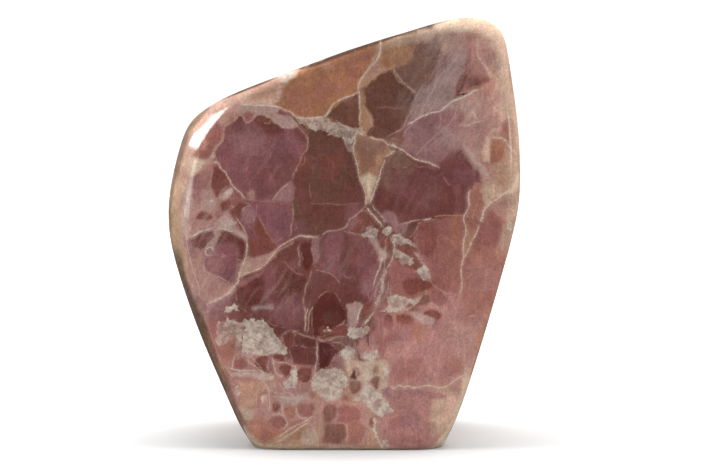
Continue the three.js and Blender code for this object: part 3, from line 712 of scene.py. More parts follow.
    ("lilac", 1.5, "33.2,86.4 35,86.8 36,84.4 37.6,81.6 39.2,80.4 38.6,78.4 37,80.6 34.6,83"),
    ("lilac", 1.0, "36,87.4 38.4,87.4 38.4,83 37,82.6"),
    ("shell", 0.8, "38.5,82 38.7,86 39.3,88.4 40.6,89.6 40.3,86.4 40.4,82"),
    # lower right
    ("rose", 2, "9,40 9,27 12,23 13,19 30,20 33.6,21.6 36,28 38,35 40,40 34,44.6 28,44 22,43 16,40"),
    ("dusty rose", 2.2, "29,38.6 33.6,36 36.6,33 36,24 33,22.6 30,29"),
    ("salmon brick", 1.6, "34,44 40,43 39.4,38.6 36,38.4 33.6,40"),
    ("brick", 0.4, "11.2,38.6 12.6,39 13.6,38.5 14,36.6 14,34.8 12.6,34.6 11.4,35.6"),
    ("brick", 0.4, "14.6,38.6 16.6,39 18.6,38.2 19.8,37 18.8,35.8 16.6,36 15,36.6"),
    ("rose brick", 1.0, "12.4,36 19.6,36.2 19,31.6 13.4,31.6"),
    ("mauve", 1.5, "15.6,34.2 18.2,34.2 18,32.4 15.8,32.4"),
    ("rust", 0.9, "20.2,35.8 22.8,35.8 22.8,33.6 21.4,31.8 20.2,32.6"),
    ("light plum", 0.8, "25,37.2 27,37 28,35.6 27.6,34.4 26,34 25,34.8"),
    ("rose brick", 0.5, "24,44.9 25.4,45.4 27,45.2 28.6,44.2 28.4,42.4 27.4,41 25.6,41.2 24.2,42.6"),
    ("brown", 0.6, "20.8,43 22,44.2 24,44.4 24,42.4 22.2,41.2 20.8,41.6"),
    ("brick", 0.4, "22.2,39.5 24,40.2 26.4,40 27.4,39 27.8,38 26.4,37.3 25,37.9 23.8,38.2 22.4,38.6"),
    ("lilac", 0.4,
     "19,39.5 20.6,39.3 22.2,38.7 24,38 25,37.4 24.6,36.2 23,35.8 21.6,36.2 20.4,37.2 19.4,38.6"),
    ("brick", 0.3, "18,41.4 19,42 20.2,41.4 20.2,40.6 18.6,40.2"),
    ("rose brick", 1.4, "14,26 22,25.6 22,20.4 14,20.4"),
    ("salmon brick", 1.4, "27,27 32.4,27 32.6,22.4 28,21.6"),
    ("light plum", 0.5,
     "12.8,15 14.4,16.4 16,17.6 18,18.1 22,17.7 25,17.2 28,16.6 29.4,16.4 29,15 24.8,14.6 20,15.2 "
     "16,14.8 14,14.2"),
    ("rose", 2.4,
     "12.2,9 13.6,10.6 14.3,11.6 13.6,14.4 16,15 24.8,15 25,9 24.4,3 20,1.6 12,1.6 11,4 11.4,8"),
    ("light plum", 1.4, "16.6,10.4 21,10.4 21,5.4 17,5.4"),
    ("rose brick", 2, "16.4,4.9 20.6,5.1 20.6,2.6 16.6,2.6"),
    ("rose brick", 0.8, "13.2,9 15.4,9.2 15.4,7 13.2,7"),
    ("shell", 3.6, "27,13.4 28.4,14.4 30,15.4 31,17.2 33.4,17.4 33.4,14 32,10 29.6,5.4 28.2,4.4 27.6,8"),
    ("dusty rose", 1.0, "25.4,17.4 29.4,17.2 29,15 25.4,15.2"),
    ("dusty rose", 2, "25.2,4.6 28.6,4.8 27.6,2.8 25,2.2"),
    ("dusty rose", 2, "30,21 35.4,22 35,18 33.4,15 31,16.4 29.6,18"),
    ("pink", 0.3, "31.5,14.2 32.2,14.2 32.2,13.4 31.6,13.4"),
    # centre column: mauve and chalky ground
    ("rose brick", 2, "8.4,41 10.8,40 11,34 12,28 11.6,22 9.8,20 8.6,28 8.6,36"),
    ("plum", 1.6, "10,39.4 11.2,39 11.2,34 10,34"),
    ("brick", 0.4, "5.4,41.4 7,42 8.4,41.6 8.8,40.2 8,39 7,37.6 6,36.4 5.4,37.2 4.9,38.6 5,40"),
    ("plum", 0.4, "4.6,37.6 5.2,37 5.6,36 4.8,35 3.4,34.8 3.4,36 4,37.2"),
    ("lilac", 0.5,
     "1.2,41.6 2.6,41.2 3.2,42.2 4.6,42 5.3,41.4 5,40.2 4.4,38.8 3.8,37 3.2,35.2 1.5,35.4 1.2,38"),
    ("umber", 0.4, "7.4,37 8.6,36 9,34.6 8,34 7.2,35.6"),
    ("maroon", 0.3, "6.2,33 7,33.2 7.4,31.6 7.3,30 6.9,29.6 6.4,31"),
    ("light plum", 0.4, "7.6,32.8 8.4,32.8 8.4,30.6 7.6,30.6"),
    ("rose", 0.8, "4.8,31.4 6.2,31 7,29.2 9.4,29.6 9,28.2 5.6,28 4.4,29.4"),
    ("brick", 0.5, "-6.8,35 -5.8,35.4 -3,35.2 -0.6,36 0.9,35.8 1,33.2 -0.6,32.7 -3.6,32.2 -6.4,31.8 -7,33"),
    ("taupe", 0.6, "-6.2,31.4 -3.6,32 0.8,32.6 3.2,31.8 3.2,30.4 -0.4,29.8 -3.4,30.6"),
    ("oxblood", 0.3,
     "-7.1,31.2 -5,31.3 -3.8,30.5 -2.4,29.1 -1.9,28.2 -2.3,27 -2.9,26 -3.4,24.8 -4,23.8 -5,23.3 "
     "-6.6,23.3 -6.9,25 -7.2,28"),
    ("maroon", 0.5, "-4.4,29.4 -2.8,29.4 -2.3,28.6 -4,28"),
    ("mauve", 0.6, "-2.8,26.4 -1.8,27.4 0,26.5 0.5,25 3,25.9 3.2,24.6 0.8,23.8 -3.4,23.6"),
    ("umber", 0.3, "-3,25.2 -1.4,25.2 -1.6,24.2 -3,24.2"),
    ("maroon", 0.3, "3.5,30.6 4.2,30.2 4.4,28 5,26.4 6.2,25.8 5.8,25 4.6,25.4 3.7,27.2 3.4,29"),
    ("biscuit", 1.0, "0.4,26 4,25 9.4,26 12.4,25.6 12.4,19 10.6,16.6 7.6,18 5,20 2,20"),
    ("oxblood", 0.3, "2.8,23.4 3.3,22.4 3.5,21 3.7,20.3 3,20.1 1.8,20.4 1.8,21 2.3,21.8"),
    ("light plum", 0.3, "3.4,23.6 4.2,23 4.8,22 4.6,21.2 3.8,21 3.5,22"),
    ("brown", 0.4, "1.9,19.4 3.2,19.9 4.4,19.8 5,19 4.9,17.8 4.4,16.9 3.2,16.2 2.2,16.4 1.7,17.6"),
    ("brown", 0.3,
     "6.9,19.6 7.6,20.4 8.6,21.1 9.6,21.4 10.2,21.2 10.1,20 9.9,18.8 9.9,17.6 9.3,16.9 8.6,17.8 "
     "7.8,18.8"),
    ("brown", 0.3, "8.2,23.6 9,23.6 9,22.8 8.3,22.8"),
    ("mauve", 0.6, "10.6,17.4 12,17.9 13.4,17.8 13.4,16.4 12.6,15.2 11.2,15.8"),
    ("salmon", 0.6, "-2,13.6 -0.6,14.6 0.4,15.3 1.2,15.2 2,14.4 2,13.2 1,12.6 -0.4,12.4 -1.6,12.8"),
    ("maroon", 0.3, "0.4,15.4 1.1,15.3 1.1,14.6 0.5,14.6"),
    ("olive tan", 0.8, "5,5.4 7.4,5.4 7.2,3 5.2,3"),
    ("brick", 0.4, "6.9,9 7.4,10.1 8.2,9.6 8.5,8 8.3,7 7.6,6.7 7.1,7.7"),
    ("brick", 0.3, "8.8,9.8 9.4,9.8 9.3,7.4 8.8,7.2"),
    ("dusty rose", 0.8, "10.2,10.4 12.6,9.6 12,7.4 10.2,6"),
    # lower left: fragments in a pale ground
    ("rose", 1.6, "-36,30 -30,32 -28,28 -20,27.6 -15,27 -8,24 -9,18 -14,13 -22,12 -29,6 -33,16"),
    ("lilac white", 0.6,
     "-33.6,23.6 -32,21.6 -30,22.8 -27,22.9 -24.6,22.4 -22,21.4 -20,21.3 -20.2,20 -22,19.8 -25,20.3 "
     "-28,21.1 -32,20.8"),
    ("rose", 0.4, "-31,20.6 -28,21 -25,20.1 -26,19.3 -30,19.8"),
    ("salmon brick", 0.5,
     "-36.4,29.6 -34.6,29.8 -33,30.8 -31.4,31.8 -30.4,31.6 -30.2,30 -30.4,28 -31.2,26.4 -32.6,25.4 "
     "-34.4,25.6 -35.6,27.4"),
    ("rose brick", 0.35,
     "-31.2,24.2 -30.8,25.6 -29.6,26.4 -28,26.6 -27.3,25.4 -27,24.4 -27.6,23.6 -29.8,23.4 -31,23.6"),
    ("brick", 0.25,
     "-25.2,25 -24.4,26.2 -23,26.9 -21,27 -20,26.9 -20.1,25.4 -20.1,23.6 -19.6,22.4 -20.2,21.6 "
     "-21.8,21.9 -23.4,22.9 -24.6,23.8"),
    ("light plum", 0.5, "-21.2,26.8 -20.2,26.8 -20.2,23 -19.8,22 -20.8,21.9 -21.6,23"),
    ("brick", 0.25, "-20,26.6 -19,27.4 -17,27.4 -16.5,26 -17.6,25.4 -19.2,25.8"),
    ("brick", 0.25, "-18.4,24 -17.6,24.8 -16.2,25 -14.9,25 -15,23.4 -15.4,21.8 -16.6,21.2 -17.8,22.2"),
    ("mauve", 0.4, "-17.6,25.6 -16.2,25.8 -14.6,26 -14.6,25 -16.4,25"),
    ("rose", 0.3, "-18.8,21.2 -17.2,21.3 -16.4,20.8 -17,19.6 -18.6,19.2 -19.6,19.8"),
    ("brick", 0.3, "-12.8,23 -12,23.9 -9.2,23.8 -8.6,23 -9.2,21 -9.9,19.2 -11.2,19.2 -12.4,20 -13,21.4"),
    ("brick", 0.3, "-17.4,30.6 -17,32.4 -15.6,33.9 -14.1,34 -14.2,32 -13.9,30.2 -15,29.6 -16.6,29.8"),
    ("maroon", 0.3, "-13.9,30.2 -13.7,33.8 -12,33.1 -11.1,32.6 -11.1,30.4 -12,29.8"),
    ("deep maroon", 0.3, "-10.8,32.3 -9,32.1 -7.6,31.6 -7.4,29.7 -10.6,29.8"),
    ("maroon", 0.6, "-15.6,29.4 -14,29.9 -7.4,29.6 -7.3,25 -8.4,23.8 -14.4,24.6 -15,27"),
    ("mauve", 0.3, "-12,18 -11,18.6 -10.3,17.4 -11,16.7 -11.8,17"),
    ("light plum", 0.4, "-9.5,16.8 -8.4,16.7 -7.8,15.6 -8,14.4 -9.2,14.2 -10.2,14.8"),
    ("rose", 0.3, "-18.8,16.4 -17.4,16.8 -16.9,15.6 -17.9,14.9 -18.8,15.4"),
    ("light plum", 0.3, "-15.2,17 -13.6,17.2 -13.2,16 -14.6,15.7"),
    ("peach", 0.6,
     "-31.4,20 -28,19.9 -25,19.4 -22.6,19.3 -21.8,18.6 -22.4,17.2 -23.6,16.4 -24,15.2 -24.4,14 "
     "-24.8,12.8 -27,12 -29,12.6 -29.5,15 -29.7,18"),
    ("tan", 1, "-27.6,15 -25.2,15.2 -25.2,13.2 -27.4,13"),
    ("rose", 0.7, "-31.6,19.8 -30,19.8 -29.8,15 -30.6,15"),
    ("biscuit", 0.9, "-29.4,12.4 -27,11.8 -25,11.6 -25.4,9.8 -27.2,8.2 -28.6,8.6"),
    ("rose", 1, "-25,14.4 -21,13.4 -20.6,9.6 -22,8.2 -24.4,8.8"),
    ("cream", 0.3, "-23.4,15.2 -22.6,15.9 -21.4,15.9 -21,15.2 -22,14.8 -22.3,13.4 -23,13.6"),
    ("biscuit", 0.5, "-21.6,19.4 -19.6,19.4 -19.4,17.8 -21.4,17.8"),
    ("dusty rose", 1.2, "-22,15.4 -14,15.6 -7.4,15 -7.4,5.6 -12,5.2 -17,5.4 -21.8,6"),
    ("grey cream", 0.6, "-18,15.4 -14,15.5 -11,17 -9.6,16.2 -11.8,14.4 -14.2,13.2 -17.4,13.4"),
    ("salmon", 0.4,
     "-27.5,7 -26.4,8.3 -25,8.8 -22,7.8 -20.6,8.2 -20,6.7 -18,7 -16.6,6.6 -16.2,5.6 -18,4.4 -19.6,3.6 "
     "-20.6,3 -23,2.6 -26,3 -27.1,4.6"),
    ("salmon brick", 0.8, "-22.6,7.6 -17,6.8 -19.6,3.6 -22.6,3"),
    ("tawny", 0.4, "-16,5.3 -14,6.5 -11.4,7.5 -10.3,6.8 -11.2,5 -12.2,3 -15.4,3"),
    ("biscuit", 0.8, "-12,5.6 -9,7 -7.4,6 -7,1.4 -12,1.4"),
    ("brick", 0.3, "-20.5,12.4 -20.3,13.6 -19.2,14 -18.1,13.4 -17.9,12 -18.6,11 -19.8,11"),
    ("rust", 0.3, "-17.2,11.2 -16.6,12 -15.2,12.3 -13.9,11.8 -13.3,10.4 -14,9.2 -15.6,8.7 -16.8,9.4"),
    ("rose brick", 0.4,
     "-13.2,12.2 -12,13.3 -10,13.5 -8.7,13.9 -8.2,12.2 -8.6,10.4 -9.6,9.2 -11.4,9.6 -12.6,10.6"),
    ("rose brick", 0.4, "-20.6,8.6 -20,9.8 -18.2,10 -16.6,9.4 -15.9,8.2 -16.8,6.9 -18.4,6 -20,6.8"),
    ("salmon brick", 0.4, "-16.4,6.9 -15.2,8.2 -13.4,8.6 -11.4,9.2 -10.2,8.8 -10.6,7.4 -12,6.4 -14.4,5.9"),
    ("dusty rose", 1.4, "-6.6,14 -2,14.6 3,13.6 6.4,11 7,6 6,2 0,1.4 -6.4,1.6"),
    ("brown", 0.5, "-6.2,10 -5.8,12.6 -4.4,13.4 -2.6,13.2 -1.7,11.8 -2,9.8 -3.6,8.4 -5.4,8.2"),
    ("rose brick", 0.8, "-1.6,9 -1,12 0.8,12.8 3,12.4 4.4,11 4.2,8.8 2,7.6 -0.4,7.8"),
    ("brown", 0.7, "-5.9,3 -5.6,6.8 -4.2,8 -2,7.8 0.2,7 0.6,4.4 -0.6,2.4 -3.4,1.9"),
    ("salmon brick", 0.8, "1.4,3.2 1.3,6.4 2.4,8 4.6,7.8 5.6,5.6 4.8,3 3,2.2"),
)

# Chalky patches, granular and less clear than the rest: (whiteness, corners)
CHALK = (
    (0.9,
     "-26.6,36.4 -25.8,37.6 -24.6,37.1 -24,37 -23.4,37.6 -22.6,37.6 -21.8,36.9 -21,36 -20.2,35.4 "
     "-19.8,34.6 -19.4,33 -18.4,32.3 -17.4,31.2 -16.4,30 -15.6,28.9 -15.4,28 -16,27.6 -18,27.6 "
     "-20,27.2 -21.6,27 -23.2,27.1 -24.4,27.4 -26,27.6 -27.4,27.6 -28.8,28 -29,29.6 -28.4,31 -28.6,33 "
     "-28.2,35"),
    (0.75,
     "-35.6,37.4 -35,37.6 -34.4,36.9 -33,37.6 -32.6,38.2 -31.8,37.4 -30.4,37.6 -29.6,37 -28.4,37.2 "
     "-27.4,38 -26.6,36.4 -28.2,35 -28.6,33 -28.4,31.4 -29,30.6 -30.4,32.2 -31.6,31.9 -32.8,31 "
     "-34,30.4 -35.2,30 -36,31.4 -35.7,34"),
    (0.35, "-30.2,31.6 -28.6,30.6 -28.8,28 -26.2,27.4 -25.4,26 -27.4,26.6 -29.8,26.8 -30.4,28.4"),
    (0.95,
     "-33.6,40.2 -33,40.9 -32,40.9 -31.4,41.3 -30.4,41.8 -29.7,41 -29.2,40.1 -30,39.6 -31,39.9 "
     "-32.2,39.2 -33.2,39.4"),
    (0.9,
     "-8.9,20.2 -8.3,21.4 -7,22.9 -5.4,23.3 -3.6,23.3 -2,23.6 -0.6,23.4 0.4,22.4 1,21 1.4,19.8 "
     "1.2,18.4 0.4,17.6 -0.8,17 -1.2,15.8 -2,14.9 -3.8,14.3 -5.2,14.6 -6.4,15.5 -7.6,16.4 -8.8,17.2 "
     "-9.4,18.4"),
    (1.0, "-5.2,16.6 -3.4,17 -1.6,16.4 -2,15 -3.8,14.4 -5.4,15"),
    (1.0,
     "-17,17.6 -16.9,19.6 -15.8,20.3 -15.2,21.4 -14.6,23.6 -13.6,24 -13,23 -13.1,20 -13.2,18.6 "
     "-14.2,18 -15.4,17.4 -16.4,17"),
    (0.85,
     "-1.6,28.4 -0.6,29.2 0.6,29.6 2,29.9 3,29.6 3.4,28.4 3.3,27 2.8,26.2 1.6,26 0.4,26.4 -0.8,27.4 "
     "-1.8,27.4"),
    (0.7, "5.5,27.6 6.6,28.4 8,28.8 9.6,28.4 10,27 9.4,26.2 7.4,26 6,26.2"),
    (0.95, "-5.6,33.6 -5.4,34.4 -4.6,34.9 -4.2,35.4 -3.8,34.8 -3.6,33.6 -4.4,33.8"),
    (0.85,
     "1.4,35.6 2.6,35.4 3.6,34.8 4.8,34.8 5.8,35.6 6.8,35.3 7,34.4 6.4,33.4 5.8,32.4 5.2,31.6 4,32.2 "
     "2.8,32 1.6,32.4 1,33.4"),
    (0.9,
     "4.8,17.4 5.6,18.3 6.6,18.6 7.4,18.3 8.2,17.4 9.4,16.4 10.4,15.4 11.6,14.6 12.6,13.6 13.6,12.6 "
     "13.9,11.6 13,10.9 12,10.6 11,9.6 9.8,9.7 8.6,10.9 7.4,11.6 6.4,12.6 5,13.9 3.8,14.3 2.4,14.6 "
     "2,15 3.4,15.3 4.6,15.8"),
    (0.6, "9.6,25.6 12.4,25 12.6,20 12.8,17.6 11,17.4 10.6,21 10.4,23"),
    (0.6, "4.4,25.4 8,25.6 8.4,22 7,20.6 5.4,20 5,22.4"),
    (0.8,
     "12,43.5 13.4,44.2 15,44.2 16.6,43.6 18.8,43.3 20,43.8 21.6,44.1 22.6,44.3 21,43.2 20.4,42.2 "
     "19.6,41.4 18,41.8 17.2,40.6 16,39.9 14.4,39.2 12.6,39.2 10.6,39.6 11.6,40.4 12.4,40.9"),
    (0.85,
     "20.4,52 22.3,52.8 23.3,51.4 23.8,50 24.7,48.5 24.9,47.7 23.6,48.5 22.7,48.1 22,48.9 20.7,49.9 "
     "19.6,51.2"),
    (1.0, "11.4,63.2 12.2,63.9 13.2,63.6 13.5,62.2 12.8,61.1 11.8,61.1 11.1,62"),
    (0.8, "5,60.9 6.4,62 7,63.5 8,64 9,63.4 9.9,62.6 9.8,60.8 8.4,60.1 7,60.2 5.8,60.1"),
    (0.8, "13.4,61 15.4,61.8 17,60.6 18.8,60 19.8,58.8 20.1,57.7 18.8,57.9 17,58.5 15.4,58.5 14.3,59.4"),
    (0.8,
     "14.3,57.6 15.6,57.4 17,56.4 18.6,55.2 19.2,53.9 19.5,53 18.4,52.7 17,53.1 15.8,54.1 14.8,55.3 "
     "14.2,56.4"),
    (0.75,
     "-13.8,94.1 -11,94 -8,94.3 -5.2,94.8 -4,93.5 -2,92.9 1,92.1 4,91.1 4.5,90.3 3,90 3.2,88.4 "
     "2.4,86.6 2.6,85.4 2.4,84.7 1,85.1 0.2,86.5 -0.8,88.5 -2.6,88.5 -4,89.3 -5.4,90.1 -6.8,90.9 -9,91 "
     "-9.8,91.2 -11,92.2 -12.6,93.2"),
    (0.8, "4.2,91 5.2,91.6 6,90.6 6.8,89.2 6,88.8 4.4,89.8"),
    (0.6, "-5,95 -4.6,96.6 -3.4,97.7 -2.4,98.4 -2,97.8 -3,96.6 -4,95.2"),
    (0.9, "-19.4,106 -18,104.3 -16.4,103.9 -15.6,104 -15.4,104.8 -14.4,105.6 -14,107"),
    (0.7, "25.8,119.6 30,119.6 36,119.6 36.4,118.4 30,117.9 26,118"),
    (0.95, "45.8,63.6 46.3,65 46.8,65.4 47.3,64 47.1,62.3 46,62.6"),
    (0.55, "-36.6,83.8 -36,85.4 -35.5,85 -35.8,83.2 -36.6,82.2 -37.4,82.2"),
    (0.85, "-31,18.6 -30.2,18.6 -29.7,15.2 -30.3,14.8 -31,16.4"),
    (0.35, "-32,62.2 -31.6,63.6 -30,65 -33,66 -35,65.4 -35.4,63.2 -34,63"),
    (0.8, "11,2.6 12.2,2.8 12.8,1 11,0.6"),
    (0.5, "-12,5 -10,5.6 -8,4.4 -7.4,2 -11,1.6"),
)

# Tones that a vein can have, in the usual 0-255 steps, and where each lies on one ramp
VEIN_PAINT = {
    "shadow": (70, 42, 38),
    "ochre": (158, 124, 72),
    "tan": (190, 152, 128),
    "rose": (186, 140, 128),
    "lilac": (196, 166, 156),
    "cream": (216, 190, 170),
    "white": (226, 210, 194),
}
TONES = {tone: round(number / (len(VEIN_PAINT) - 1), 2) for number, tone in enumerate(VEIN_PAINT)}

